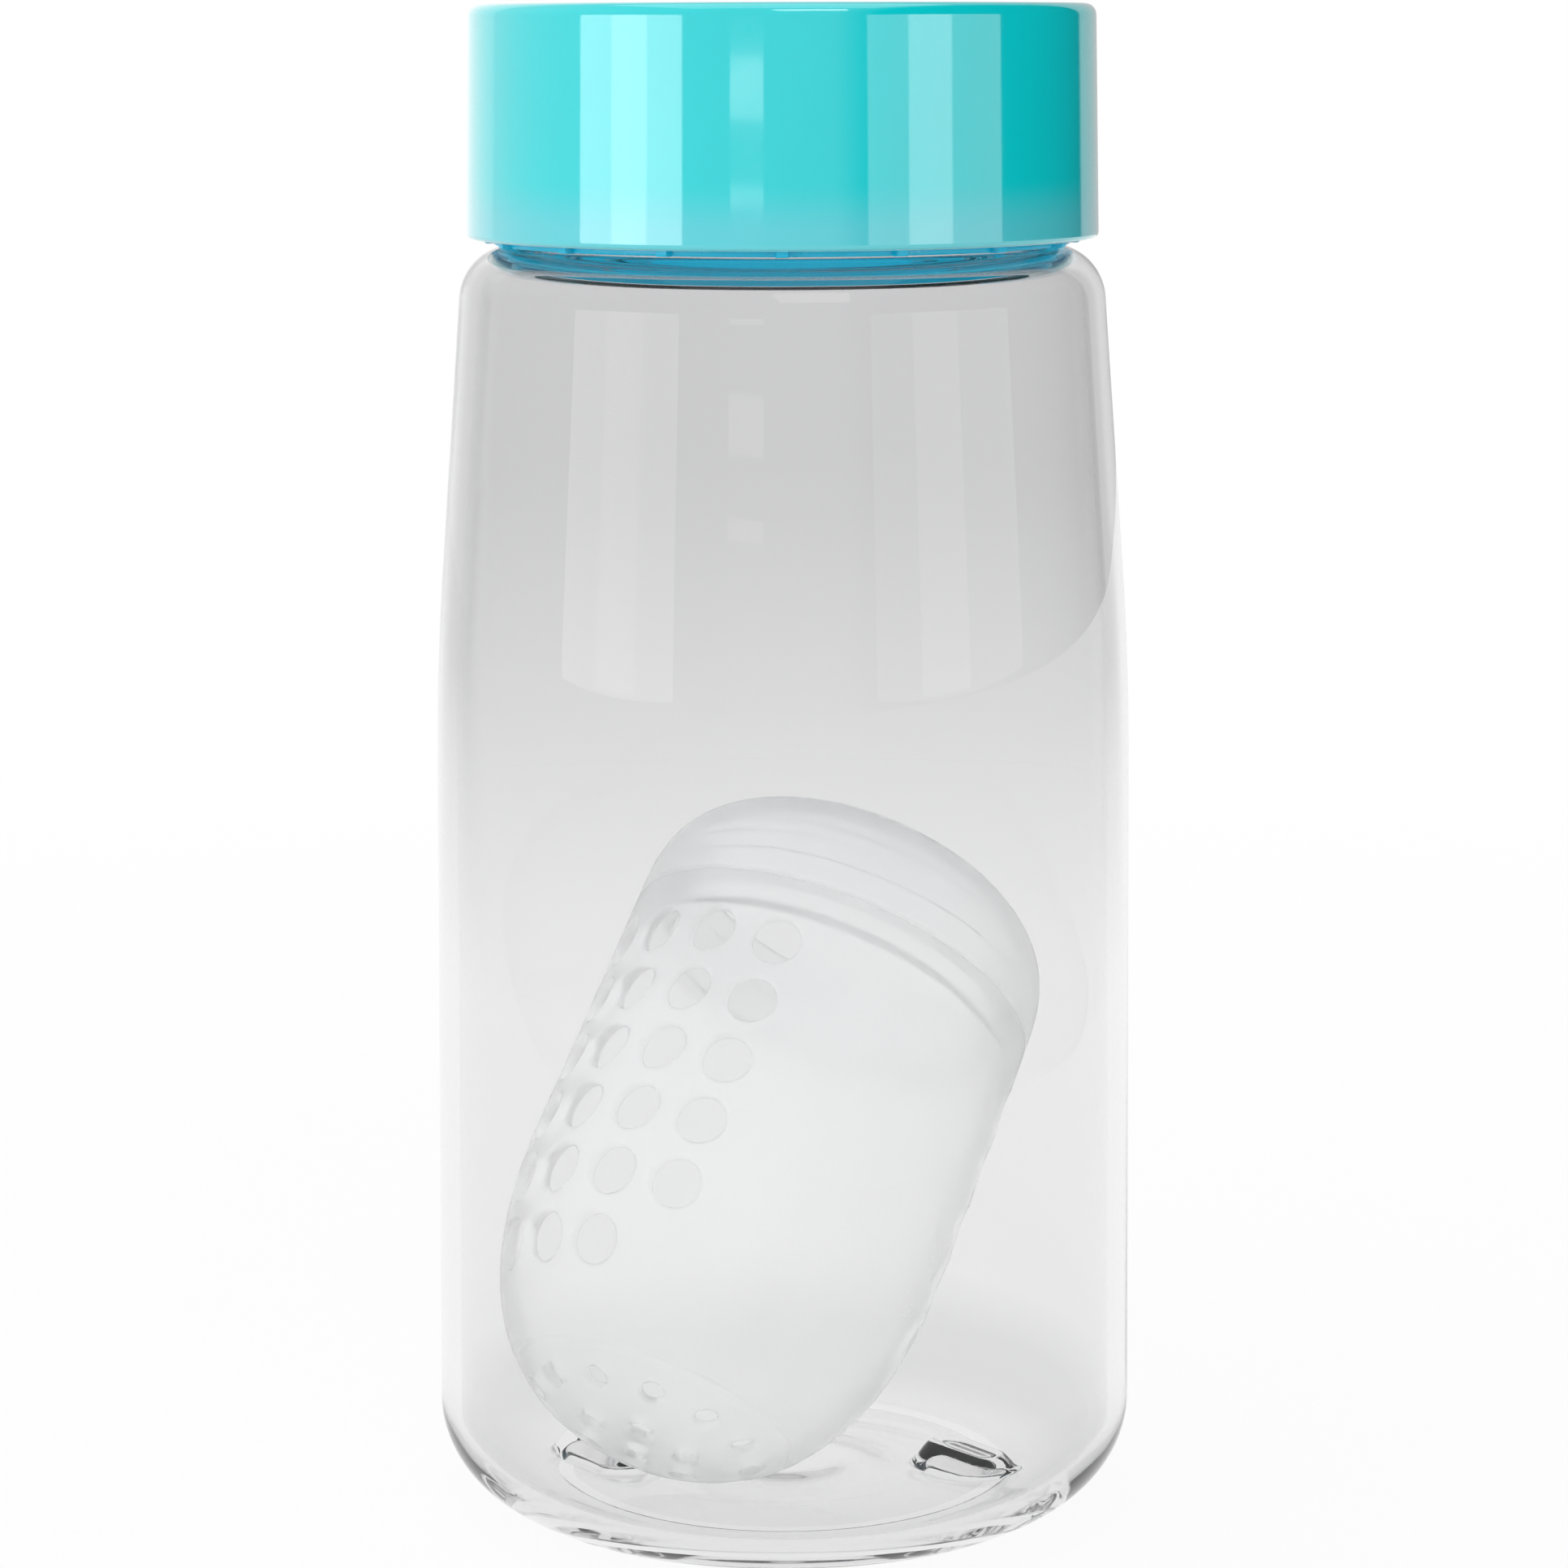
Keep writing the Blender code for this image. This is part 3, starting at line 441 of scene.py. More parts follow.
def insert_parts():
    """The threaded inner cup with its plug ring, its outside standing out to the ribs' radius at each rib."""
    outline = rounded(
        [(0.0, INSERT_TOP), (INSERT_OUTER, INSERT_TOP), (INSERT_OUTER, INSERT_BOTTOM),
         (INSERT_BORE, INSERT_BOTTOM), (INSERT_BORE, INSERT_CEILING), (PLUG_OUTER, INSERT_CEILING),
         (PLUG_OUTER, PLUG_BOTTOM), (PLUG_INNER, PLUG_BOTTOM), (PLUG_INNER, INSERT_CEILING),
         (0.0, INSERT_CEILING)],
        INSERT_ROUNDS, count=5,
    )

    def threaded(radius, height):
        low, high = INSERT_THREADED
        return (np.abs(radius - INSERT_BORE) < ON_WALL) & (height > low) & (height < high)

    half = RIB_WIDTH / 2 / INSERT_OUTER
    across = np.array(RIB_ACROSS) * half
    between = np.linspace(across[-1], TURN / RIB_COUNT - across[-1], RIB_GAP_COLUMNS + 2)[1:-1]
    one = np.concatenate([across, between])
    angles = (np.arange(RIB_COUNT)[:, None] * TURN / RIB_COUNT + one[None, :]).ravel() - math.pi / 2
    out = np.concatenate([RIB_SHARES, np.zeros(len(between))])
    rib = np.tile(out, RIB_COUNT) * (RIB_OUTER - INSERT_OUTER)
    rows = spaced(outline, row_spacing(outline, INSERT_ROWS, threaded))[1:-1]
    radius, angle, height = turned(rows, angles)
    skirt = ease((radius - INSERT_BORE - SKIRT_START) / SKIRT_FADE)
    on_skirt = np.where(height > INSERT_CEILING + TOP_MARGIN, ease((radius - TOP_START) / TOP_FADE), skirt)
    ridge = thread_rise(angle, height, THREAD_FIRST - THREAD_DROP, *LID_THREAD)
    bore = (np.abs(radius - INSERT_BORE) < NEAR_WALL) & (height < INSERT_CEILING)
    radius = radius + rib * on_skirt - np.where(bore, ridge, 0.0)
    return [closed_grid(upright(radius, angle, height))]


def seal_parts():
    """The seal: a flat ring with rounded edges."""
    middle = ((SEAL_OUTER + SEAL_INNER) / 2, SEAL_TOP)
    outline = rounded(
        [middle, (SEAL_OUTER, SEAL_TOP), (SEAL_OUTER, SEAL_BOTTOM), (SEAL_INNER, SEAL_BOTTOM),
         (SEAL_INNER, SEAL_TOP), middle],
        (SEAL_ROUND,) * 4, count=6,
    )[:-1]
    angles = np.linspace(0.0, TURN, SEAL_COLUMNS, endpoint=False)
    return [closed_grid(upright(*turned(outline, angles)), ring=True)]


# Infuser capsule

def laid(points):
    """Points of the capsule's own frame, leaned over and moved to where it lies."""
    axis = np.array([
        math.sin(LEAN) * math.cos(LEAN_DIRECTION), math.sin(LEAN) * math.sin(LEAN_DIRECTION), math.cos(LEAN),
    ])
    side = np.array([math.sin(LEAN_DIRECTION), -math.cos(LEAN_DIRECTION), 0.0])
    turn = np.stack([side, np.cross(axis, side), axis])
    return points @ turn + np.array(CAPSULE_POLE)


def with_normals(outline):
    """Running length, radius, height and outward normal along an outline that starts at a pole."""
    run = np.concatenate([[0.0], np.cumsum(np.linalg.norm(np.diff(outline, axis=0), axis=1))])
    slope = np.gradient(outline, run, axis=0)
    slope /= np.linalg.norm(slope, axis=1)[:, None]
    return run, outline[:, 0], outline[:, 1], slope[:, 1], -slope[:, 0]


def cup_wall():
    """The cup's outside up to just above its top row of holes, cut fine."""
    dome = superellipse(CAPSULE_RADIUS, CUP_DOME, CUP_POWER)
    top = HOLE_FIRST_ROW + HOLE_ROW_PITCH * (HOLE_ROWS - 0.5)
    side = np.stack([np.full(60, CAPSULE_RADIUS), np.linspace(CUP_DOME, top, 61)[1:]], axis=1)
    return with_normals(np.concatenate([dome, side]))


def on_cup(angle, run, depth, wall):
    """Points of the cup at an angle, a running length from its pole and a depth under its outside."""
    radius, height, out, up = (np.interp(run, wall[0], column) for column in wall[1:])
    return upright(radius - out * depth, angle, height - up * depth)


def cup_cells(centres, spans, edges, divisions, hole, wall):
    """Square patches of the cup's wall with a round hole each, from outside through the hole to inside.

    Each patch is a stack of rings. The outermost ring is the patch's own edge, and the others shrink
    towards the hole as a mix of that edge and a circle. The hole's two edges are rounded.
    """
    across, along = divisions
    right, up = np.linspace(-1, 1, across + 1), np.linspace(0, 1, along + 1)
    u = np.concatenate([right[:-1], np.ones(along), right[:0:-1], -np.ones(along)])
    v = np.concatenate([np.zeros(across), up[:-1], np.ones(across), up[:0:-1]])
    angle = centres[:, :1] + spans[:, None] * u / 2
    run = edges[:, :1] + (edges[:, 1:] - edges[:, :1]) * v
    reach = np.interp(run, wall[0], wall[1])
    x, y = (angle - centres[:, :1]) * reach, run - centres[:, 1:]
    far = np.hypot(x, y)
    shrink = np.linspace(1.0, 0.0, 5)[:-1]
    bends = np.linspace(0.0, math.pi / 2, 5)
    rings = [(share, 0.0, 0.0) for share in shrink]
    rings += [(0.0, HOLE_ROUND * (1 - math.sin(q)), HOLE_ROUND * (1 - math.cos(q))) for q in bends]
    rings += [(share, wide, CAPSULE_WALL - deep) for share, wide, deep in reversed(rings)]
    stack = []
    for share, wide, depth in rings:
        circle = hole + (HOLE_ROUND if share else wide)
        distance = circle + (far - circle) * share
        px, py = x / far * distance, y / far * distance
        ring_run = centres[:, 1:] + py
        ring_angle = centres[:, :1] + px / np.interp(ring_run, wall[0], wall[1])
        if share == 1.0:
            ring_run, ring_angle = run, angle
        stack.append(on_cup(ring_angle, ring_run, depth, wall))
    return [open_ring(grid) for grid in np.stack(stack, axis=1)]


def open_ring(grid):
    """A grid of capsule points whose columns close round an axis and whose end rows stay open."""
    return laid(grid.reshape(-1, 3)), grid_faces(*grid.shape[:2], False), np.zeros((0, 3), int)


def plain_grid(angle, run, wall, groove=None):
    """Outer and inner patches without holes, as two open grids.

    The groove is a depth pressed into the outside.
    """
    sheets = []
    for depth in (0.0, CAPSULE_WALL):
        pressed = groove if groove is not None and depth == 0.0 else 0.0
        points = on_cup(angle, run, depth + pressed, wall)
        rows, columns = points.shape[:2]
        index = np.arange(rows * columns).reshape(rows, columns)
        corners = [index[:-1, :-1], index[:-1, 1:], index[1:, 1:], index[1:, :-1]]
        quads = np.stack(corners, axis=-1).reshape(-1, 4)
        sheets.append((laid(points.reshape(-1, 3)), quads, np.zeros((0, 3), int)))
    return sheets


def cup_angles():
    """The angles of the cup's columns: even over each column of holes, and even over each plain side."""
    width = HOLE_COLUMN_ANGLE * HOLE_COLUMNS
    panel = np.linspace(0.0, width, CELL_DIVISIONS * HOLE_COLUMNS + 1)[:-1]
    plain = np.linspace(width, math.pi, SIDE_DIVISIONS + 1)[:-1]
    half = np.concatenate([panel, plain])
    return PANEL_TURN - width / 2 + np.concatenate([half, half + math.pi])


def length_at_radius(wall, radius):
    """The running length from the pole at which the cup's dome reaches a radius."""
    return float(np.interp(radius, wall[1][:DOME_POINTS], wall[0][:DOME_POINTS]))


def length_at_height(wall, height):
    """The running length from the pole at which the cup reaches a height."""
    return float(np.interp(height, wall[2], wall[0]))


def drain_parts(wall, cuts, columns):
    """The drain field: rings of patches with a hole each, and one hole at the pole with rounded edges."""
    parts = []
    for (count, ring_radius), inner, outer in zip(DRAIN_RINGS, cuts, cuts[1:]):
        middle = length_at_radius(wall, ring_radius)
        centres = np.stack([np.arange(count) * TURN / count, np.full(count, middle)], axis=1)
        spread = np.tile([inner, outer], (count, 1))
        divisions = (CUP_COLUMNS // count, CELL_DIVISIONS)
        parts += cup_cells(centres, np.full(count, TURN / count), spread, divisions, DRAIN_RADIUS, wall)
    edge = DRAIN_RADIUS + POLE_HOLE_ROUND
    out_rows = [(cuts[0] + (edge - cuts[0]) * share, 0.0) for share in (0.0, 0.5)]
    out_rows += [
        (edge - POLE_HOLE_ROUND * math.sin(turn), POLE_HOLE_ROUND * (1 - math.cos(turn)))
        for turn in np.linspace(0.0, math.pi / 2, 5)
    ]
    rows = out_rows + [(run, CAPSULE_WALL - depth) for run, depth in reversed(out_rows)]
    pole = [on_cup(columns, np.full(CUP_COLUMNS, run), depth, wall) for run, depth in rows]
    return parts + [open_ring(np.stack(pole))]


def band_parts(wall, start, end, columns, angles):
    """The plain band between the drain field and the lowest row, with the fine groove round the field.

    Its columns ease over from the field's angles to the rows' angles. The groove's depth falls off as e
    to minus the square of the distance from its line over its width.
    """
    close, wide = np.linspace(0.0, GROOVE_BAND, 9), np.linspace(GROOVE_BAND, 1.0, 8)[1:]
    share = np.concatenate([close, wide])[:, None]
    run = start + (end - start) * share
    first, last = np.append(columns, columns[0] + TURN), np.append(angles, angles[0] + TURN)
    angle = first + (last - first) * ease(share)
    groove = GROOVE_DEPTH * np.exp(-((run - start - GROOVE_PLACE) / GROOVE_WIDTH)**2) * (share < 0.99)
    return plain_grid(angle, np.broadcast_to(run, angle.shape), wall, np.broadcast_to(groove, angle.shape))


def row_parts(wall, row_edges):
    """The rows of holes in two panels, the lowest row without its end holes, and the plain sides between."""
    parts, centres, spreads = [], [], []
    plain = np.linspace(HOLE_COLUMN_ANGLE * HOLE_COLUMNS, math.pi, SIDE_DIVISIONS + 1)
    for row, (low, high) in enumerate(zip(row_edges, row_edges[1:])):
        middle = length_at_height(wall, HOLE_FIRST_ROW + HOLE_ROW_PITCH * row)
        up = np.linspace(low, high, CELL_DIVISIONS + 1)[:, None]
        for panel in (0.0, math.pi):
            for column in range(HOLE_COLUMNS):
                left = PANEL_TURN + panel + HOLE_COLUMN_ANGLE * (column - HOLE_COLUMNS / 2)
                if row == 0 and column in (0, HOLE_COLUMNS - 1):
                    patch = left + HOLE_COLUMN_ANGLE * np.linspace(0, 1, CELL_DIVISIONS + 1)
                    parts += plain_grid(*np.broadcast_arrays(patch, up), wall)
                    continue
                centres.append((left + HOLE_COLUMN_ANGLE / 2, middle))
                spreads.append((low, high))
            side = plain + PANEL_TURN + panel - HOLE_COLUMN_ANGLE * HOLE_COLUMNS / 2
            parts += plain_grid(*np.broadcast_arrays(side, up), wall)
    spans = np.full(len(centres), HOLE_COLUMN_ANGLE)
    divisions = (CELL_DIVISIONS, CELL_DIVISIONS)
    return parts + cup_cells(np.array(centres), spans, np.array(spreads), divisions, HOLE_RADIUS, wall)


def cup_neck(top, angles):
    """The cup from above its holes: the shoulder at the seam and the threaded neck, outside and inside."""
    inner = CAPSULE_RADIUS - CAPSULE_WALL
    outline = rounded(
        [(CAPSULE_RADIUS, top), (CAPSULE_RADIUS, SEAM), (CUP_NECK_RADIUS, SEAM),
         (CUP_NECK_RADIUS, CUP_NECK_TOP), (CUP_BORE, CUP_NECK_TOP), (CUP_BORE, SEAM - CAPSULE_WALL),
         (inner, SEAM - CAPSULE_WALL - CUP_SHOULDER_SLOPE), (inner, top)],
        CUP_NECK_ROUNDS, count=5,
    )

    def threaded(radius, height):
        return (np.abs(radius - CUP_NECK_RADIUS) < NEAR_WALL) & (height > CUP_THREADED)

    radius, angle, height = turned(spaced(outline, row_spacing(outline, CUP_NECK_ROWS, threaded)), angles)
    ridge = thread_rise(angle, height, CUP_THREAD_FIRST, *CAPSULE_THREAD)
    radius = radius + np.where(np.abs(radius - CUP_NECK_RADIUS) < NEAR_WALL, ridge, 0.0)
    return [open_ring(upright(radius, angle, height))]


def cup_parts():
    """The perforated cup: drain field round its pole, a plain band, rows of holes and the threaded neck."""
    wall = cup_wall()
    cuts = [length_at_radius(wall, edge) for edge in DRAIN_EDGES]
    row_heights = [HOLE_FIRST_ROW + HOLE_ROW_PITCH * (row - 0.5) for row in range(HOLE_ROWS + 1)]
    row_edges = [length_at_height(wall, height) for height in row_heights]
    columns = DRAIN_TURN + np.arange(CUP_COLUMNS) * TURN / CUP_COLUMNS
    angles = cup_angles()
    parts = drain_parts(wall, cuts, columns)
    parts += band_parts(wall, cuts[-1], row_edges[0], columns, angles)
    parts += row_parts(wall, row_edges)
    return parts + cup_neck(row_heights[-1], angles)


def cap_parts():
    """The capsule's domed cap: outer and inner domes joined by a rounded rim, with thread ridges inside."""
    outer = superellipse(CAPSULE_RADIUS, CAP_DOME, CAP_POWER, 200) * (1, -1) + (0, CAPSULE_LENGTH)
    inner = superellipse(CAPSULE_RADIUS - CAPSULE_WALL, CAP_DOME - CAPSULE_WALL, CAP_POWER, 200) * (1, -1)
    inner = (inner + (0, CAPSULE_LENGTH - CAPSULE_WALL))[::-1]
    bottom = SEAM + CLEARANCE
    rim = rounded(
        [outer[-1], (CAPSULE_RADIUS, bottom), (CAPSULE_RADIUS - CAPSULE_WALL, bottom), inner[0]],
        CAP_RIM_ROUNDS, count=6,
    )
    outline = np.concatenate([outer, rim[1:-1], inner])

    def spacing(places):
        radius, height = places.T
        threaded = (np.abs(radius - CAPSULE_RADIUS + CAPSULE_WALL) < CAP_WALL_REACH) & (height < CAP_THREADED)
        return np.where((height < SEAM + CAP_RIM_REACH) | threaded, CAP_FINE_ROWS, CAP_PLAIN_ROWS)

    angles = np.linspace(0.0, TURN, CAP_COLUMNS, endpoint=False)
    radius, angle, height = turned(spaced(outline, spacing)[1:-1], angles)
    ridge = thread_rise(angle, height, CUP_THREAD_FIRST - CAP_THREAD_DROP, *CAPSULE_THREAD)
    inside = (radius < CAPSULE_RADIUS - CAPSULE_WALL + NEAR_WALL) & (radius > CAP_THREAD_INNER)
    inside &= height < CAP_THREAD_TOP
    radius = radius - np.where(inside, ridge, 0.0)
    flat, quads, triangles = closed_grid(upright(radius, angle, height))
    return [(laid(flat), quads, triangles)]


# Materials

# Heights and distances from the bottle's axis between which a look changes, in metres: the body's painted
# shade towards its top and in its low outer corner, the lid's painted pale reflection at its rim, and the
# fade of the insert's painted glow
UPPER_SHADE_HEIGHTS, SHADED_CORNER_HEIGHTS, SHADED_CORNER_REACH = (0.06, 0.115), (0.009, 0.016), (0.028, 0.034)
LID_RIM_REFLECTION_HEIGHTS, INSERT_GLOW_FADE_REACH = (0.1425, 0.1480), (0.0305, 0.0309)

# How far a frosted plastic's shade goes up and down
FROST_CLOUDS = 0.012


def plain_grey(level):
    """An opaque grey."""
    return (level, level, level, 1.0)


class Nodes:
    """A node tree with short calls for its nodes."""

    def __init__(self, tree):
        self.tree = tree

    def add(self, kind, links=None, **settings):
        """A node with its settings and its linked or fixed inputs."""
        made = self.tree.nodes.new(kind)
        for label, value in settings.items():
            setattr(made, label, value)
        for label, value in (links or {}).items():
            self.feed(value, made.inputs[label])
        return made

    def feed(self, value, socket):
        """Links a node's output to an input, or fixes the input at a plain value."""
        if isinstance(value, bpy.types.NodeSocket):
            self.tree.links.new(value, socket)
        else:
            socket.default_value = value

    def calculate(self, operation, *values):
        """The result of a Math node."""
        return self.add("ShaderNodeMath", dict(enumerate(values)), operation=operation).outputs[0]

    def between(self, value, low, high, first=0.3, last=0.7, **settings):
        """A value's range from first to last spread from low to high, and held at both ends.

        Without first and last it is a noise's middle range.
        """
        links = {"Value": value, "From Min": first, "From Max": last, "To Min": low, "To Max": high}
        return self.add("ShaderNodeMapRange", links, **settings).outputs[0]

    def beyond_backdrop(self, sine):
        """0 where the backdrop is white and 1 where it is grey, from the sine of an azimuth."""
        off_middle = self.calculate("ABSOLUTE", self.calculate("SUBTRACT", sine, BACKDROP_MIDDLE))
        return self.between(off_middle, 0.0, 1.0, *SIDE_EDGES)


class Finish(Nodes):
    """A Principled material and its nodes."""

    def __init__(self, name, **inputs):
        self.material = bpy.data.materials.new(name)
        self.material.use_nodes = True
        super().__init__(self.material.node_tree)
        self.shader = self.tree.nodes["Principled BSDF"]
        self.output = self.tree.nodes["Material Output"]
        self.place = self.add("ShaderNodeTexCoord").outputs["Object"]
        for label, value in inputs.items():
            self.shader.inputs[label.replace("_", " ")].default_value = value

    def noise(self, scale, detail=2.0, stretch=(1.0, 1.0, 1.0)):
        """Noise over Object coordinates, its features about one over scale metres wide."""
        mapped = self.add("ShaderNodeMapping", {"Vector": self.place, "Scale": stretch}).outputs[0]
        links = {"Vector": mapped, "Scale": scale, "Detail": detail}
        return self.add("ShaderNodeTexNoise", links).outputs["Fac"]

    def height(self):
        """Height above the floor."""
        return self.add("ShaderNodeSeparateXYZ", {"Vector": self.place}).outputs["Z"]

    def reach(self):
        """Distance from the bottle's axis."""
        across = self.add("ShaderNodeVectorMath", {0: self.place, 1: (1.0, 1.0, 0.0)}, operation="MULTIPLY")
        return self.add("ShaderNodeVectorMath", {0: across.outputs[0]}, operation="LENGTH").outputs["Value"]

    def mix(self, factor, first, second):
        """A colour between two colours."""
        made = self.add("ShaderNodeMix", data_type="RGBA")
        factor_input, first_input, second_input = (made.inputs[place] for place in (0, 6, 7))
        self.feed(factor, factor_input)
        self.feed(first, first_input)
        self.feed(second, second_input)
        return made.outputs[2]

    def link(self, source, label):
        """Feeds one of the shader's inputs."""
        self.tree.links.new(source, self.shader.inputs[label])

    def bump(self, height, distance):
        """Bump of a height in metres, as the shader's normal."""
        self.link(self.add("ShaderNodeBump", {"Height": height, "Distance": distance}).outputs[0], "Normal")

    def show_mixed(self, share, other):
        """Makes the material's surface a mix of its shader and a share of another."""
        mixed = self.add("ShaderNodeMixShader", {0: share, 1: self.shader.outputs[0], 2: other})
        self.tree.links.new(mixed.outputs[0], self.output.inputs["Surface"])

    def let_lamps_through(self, share):
        """Lets a share of the lamps' light pass straight through the piece."""
        shadow = self.add("ShaderNodeLightPath").outputs["Is Shadow Ray"]
        see = self.add("ShaderNodeBsdfTransparent", {"Color": plain_grey(share)}).outputs[0]
        self.show_mixed(shadow, see)


def clear_plastic():
    """Clear glossy plastic: a light tint with painted shade that darkens it towards the top and fades towards
    the base, faint flow waves and fine haze.

    It mirrors less than bare plastic, and painted shade makes it a little darker in its low outer corner.
    """
    finish = Finish(
        "clear_body", Roughness=0.02, IOR=1.5, Transmission_Weight=1.0, Specular_Tint=plain_grey(0.40),
    )
    height = finish.height()
    # Painted shade: the tint is darker up the body, with the top darkest and the base lightest.
    painted_upper_shade = finish.between(height, 0.0, 1.0, *UPPER_SHADE_HEIGHTS)
    tint = finish.mix(painted_upper_shade, plain_grey(0.925), (0.785, 0.785, 0.79, 1.0))
    # Painted shade: the low outer corner of the base is darkened towards a grey.
    wide = finish.between(finish.reach(), 0.0, 1.0, *SHADED_CORNER_REACH)
    low = finish.between(height, 1.0, 0.0, *SHADED_CORNER_HEIGHTS)
    corner = finish.calculate("MULTIPLY", wide, low)
    finish.link(finish.mix(corner, tint, (0.82, 0.82, 0.825, 1.0)), "Base Color")
    finish.link(finish.between(finish.noise(400.0, 3.0), 0.005, 0.03), "Roughness")
    finish.bump(finish.noise(45.0, 1.0, (1.0, 1.0, 0.15)), 0.00008)
    finish.let_lamps_through(0.96)
    depth = finish.add("ShaderNodeVolumeAbsorption", {"Color": plain_grey(0.0), "Density": 7.0}).outputs[0]
    finish.tree.links.new(depth, finish.output.inputs["Volume"])
    return finish.material


def lid_gloss():
    """Glossy turquoise moulded plastic with slight swirls of colour and a wavy surface, with a painted pale
    reflection at the rim.
    """
    finish = Finish(
        "lid_shell_gloss", Roughness=0.07, IOR=1.5, Coat_Weight=1.0, Coat_Roughness=0.03, Coat_IOR=1.5,
    )
    tint = finish.mix(finish.noise(60.0, 3.0), (0.001, 0.60, 0.64, 1.0), (0.003, 0.65, 0.68, 1.0))
    # Painted reflection: the lowest part of the lid, at its rim, is made paler.
    rim = finish.between(finish.height(), 1.0, 0.0, *LID_RIM_REFLECTION_HEIGHTS, interpolation_type="SMOOTHSTEP")
    finish.link(finish.mix(rim, tint, (0.085, 0.60, 0.67, 1.0)), "Base Color")
    finish.link(finish.between(finish.noise(900.0, 2.0), 0.05, 0.09), "Roughness")
    finish.bump(finish.noise(55.0, 1.0), 0.00006)
    return finish.material


def insert_plastic():
    """Turquoise moulded plastic, less polished than the shell, with a blue glow that is faint on its side:
    painted light for the light that leaks through the coloured lid.
    """
    finish = Finish("lid_insert_plastic", Roughness=0.35, IOR=1.5, Emission_Strength=1.0)
    # Painted light: the insert glows blue inside its bore and faintly on its outer side, though it is no
    # lamp.
    side = finish.between(finish.reach(), 0.0, 1.0, *INSERT_GLOW_FADE_REACH)
    finish.link(finish.mix(side, (0.015, 0.26, 0.37, 1.0), (0.0, 0.03, 0.05, 1.0)), "Emission Color")
    tint = finish.mix(finish.noise(80.0, 3.0), (0.002, 0.48, 0.72, 1.0), (0.004, 0.54, 0.78, 1.0))
    finish.link(tint, "Base Color")
    finish.link(finish.between(finish.noise(700.0, 2.0), 0.25, 0.42), "Roughness")
    return finish.material


def silicone():
    """Pale soft silicone with a fine mould texture."""
    finish = Finish("seal_silicone", Roughness=0.5, IOR=1.41, Subsurface_Weight=0.3, Subsurface_Scale=0.001)
    tint = finish.mix(finish.noise(150.0, 2.0), (0.80, 0.82, 0.82, 1.0), (0.88, 0.90, 0.90, 1.0))
    finish.link(tint, "Base Color")
    finish.bump(finish.noise(2500.0, 2.0), 0.00001)
    return finish.material


def frosted(name, shade, ior):
    """Frosted, lightly see-through plastic with a fine moulded grain and cloudy thickness."""
    finish = Finish(name, Roughness=0.5, IOR=ior, Transmission_Weight=0.9, Specular_Tint=plain_grey(0.3))
    clouds = (plain_grey(shade - FROST_CLOUDS), plain_grey(shade + FROST_CLOUDS))
    finish.link(finish.mix(finish.noise(90.0, 3.0), *clouds), "Base Color")
    finish.link(finish.between(finish.noise(600.0, 2.0), 0.42, 0.56), "Roughness")
    finish.bump(finish.noise(1800.0, 2.0), 0.00002)
    finish.let_lamps_through(0.8)
    return finish.material


# Pieces

piece("bottle_body", bottle_parts(), clear_plastic(), "bottle", "bottle")
piece("lid_outer_shell", shell_parts(), lid_gloss(), "lid", "lid_shell")
piece("lid_threaded_insert", insert_parts(), insert_plastic(), "lid", "lid_insert")
piece("lid_sealing_ring", seal_parts(), silicone(), "lid_seal", "lid_seal")
cup_plastic = frosted("infuser_cup_frosted", 0.985, 1.09)
piece(
    "infuser_perforated_cup", cup_parts(), cup_plastic, "infuser_cup", "infuser_cup",
    weld=True,
)
cap_plastic = frosted("infuser_cap_frosted", 0.987, 1.08)
piece("infuser_screw_cap", cap_parts(), cap_plastic, "infuser_cap", "infuser_cap")


# Studio

# Height on the bottle's axis that the lamps are turned towards, in metres
LAMP_AIM = 0.155

# The white backdrop's middle and where it turns grey on both sides, as sines of azimuths, and that grey
BACKDROP_MIDDLE, SIDE_EDGES, SIDE_LEVEL = 0.06, (0.34, 0.42), 0.74

# The floor: its size, how much of it glows under the bottle, and the distances over which it comes to
# glow all over and to turn grey at the sides
FLOOR_RADIUS, FLOOR_SIDES, GLOW_SHARE, GLOW_REACH, GREY_REACH = 1.3, 96, 0.92, (0.1, 0.5), (0.3, 0.8)

# The plain room from left to right as places and levels, and its brightness
ROOM_STOPS, ROOM_BRIGHTNESS = ((0.0, 0.70), (0.08, 0.70), (0.18, 0.58), (0.66, 0.55), (0.78, 0.01)), 1.35

# The mirrored backdrop: how it is skewed, where it begins behind the bottle, and its levels left and right
BACKDROP_SKEW, BACKDROP_BEGINS, BACKDROP_WIDTH, BACKDROP_LEVELS = -0.085, (0.665, 0.71), 0.15, (1.1, 0.55)


def area_light(name, azimuth_deg, height, distance, size, radiance):
    """A soft rectangular light at an azimuth from the viewer's side, turned towards the bottle's axis.

    Its power is pi times its area times the radiance it is seen with.
    """
    data = bpy.data.lights.new(name, "AREA")
    data.shape = "RECTANGLE"
    data.size, data.size_y = size
    data.energy = math.pi * size[0] * size[1] * radiance
    light = bpy.data.objects.new(name, data)
    bpy.context.scene.collection.objects.link(light)
    azimuth = math.radians(azimuth_deg)
    light.location = (distance * math.sin(azimuth), -distance * math.cos(azimuth), height)
    light.rotation_euler = (Vector((0, 0, LAMP_AIM)) - light.location).to_track_quat("-Z", "Y").to_euler()
    light.visible_camera = False
    light.visible_transmission = False


def strip(name, first_deg, last_deg, radiance, low=-8.0, high=8.0, distance=0.85):
    """An upright light that is mirrored in the lid between two azimuths of the lid's side.

    A side mirrors what stands at twice its azimuth. The light's ends stand low and high degrees over the
    level of the lamps' aim.
    """
    middle, half = math.radians(first_deg + last_deg), math.radians(last_deg - first_deg)
    bottom, top = math.tan(math.radians(low)), math.tan(math.radians(high))
    size = (2 * distance * math.tan(half), distance * (top - bottom))
    area_light(name, math.degrees(middle), LAMP_AIM + distance * (top + bottom) / 2, distance, size, radiance)


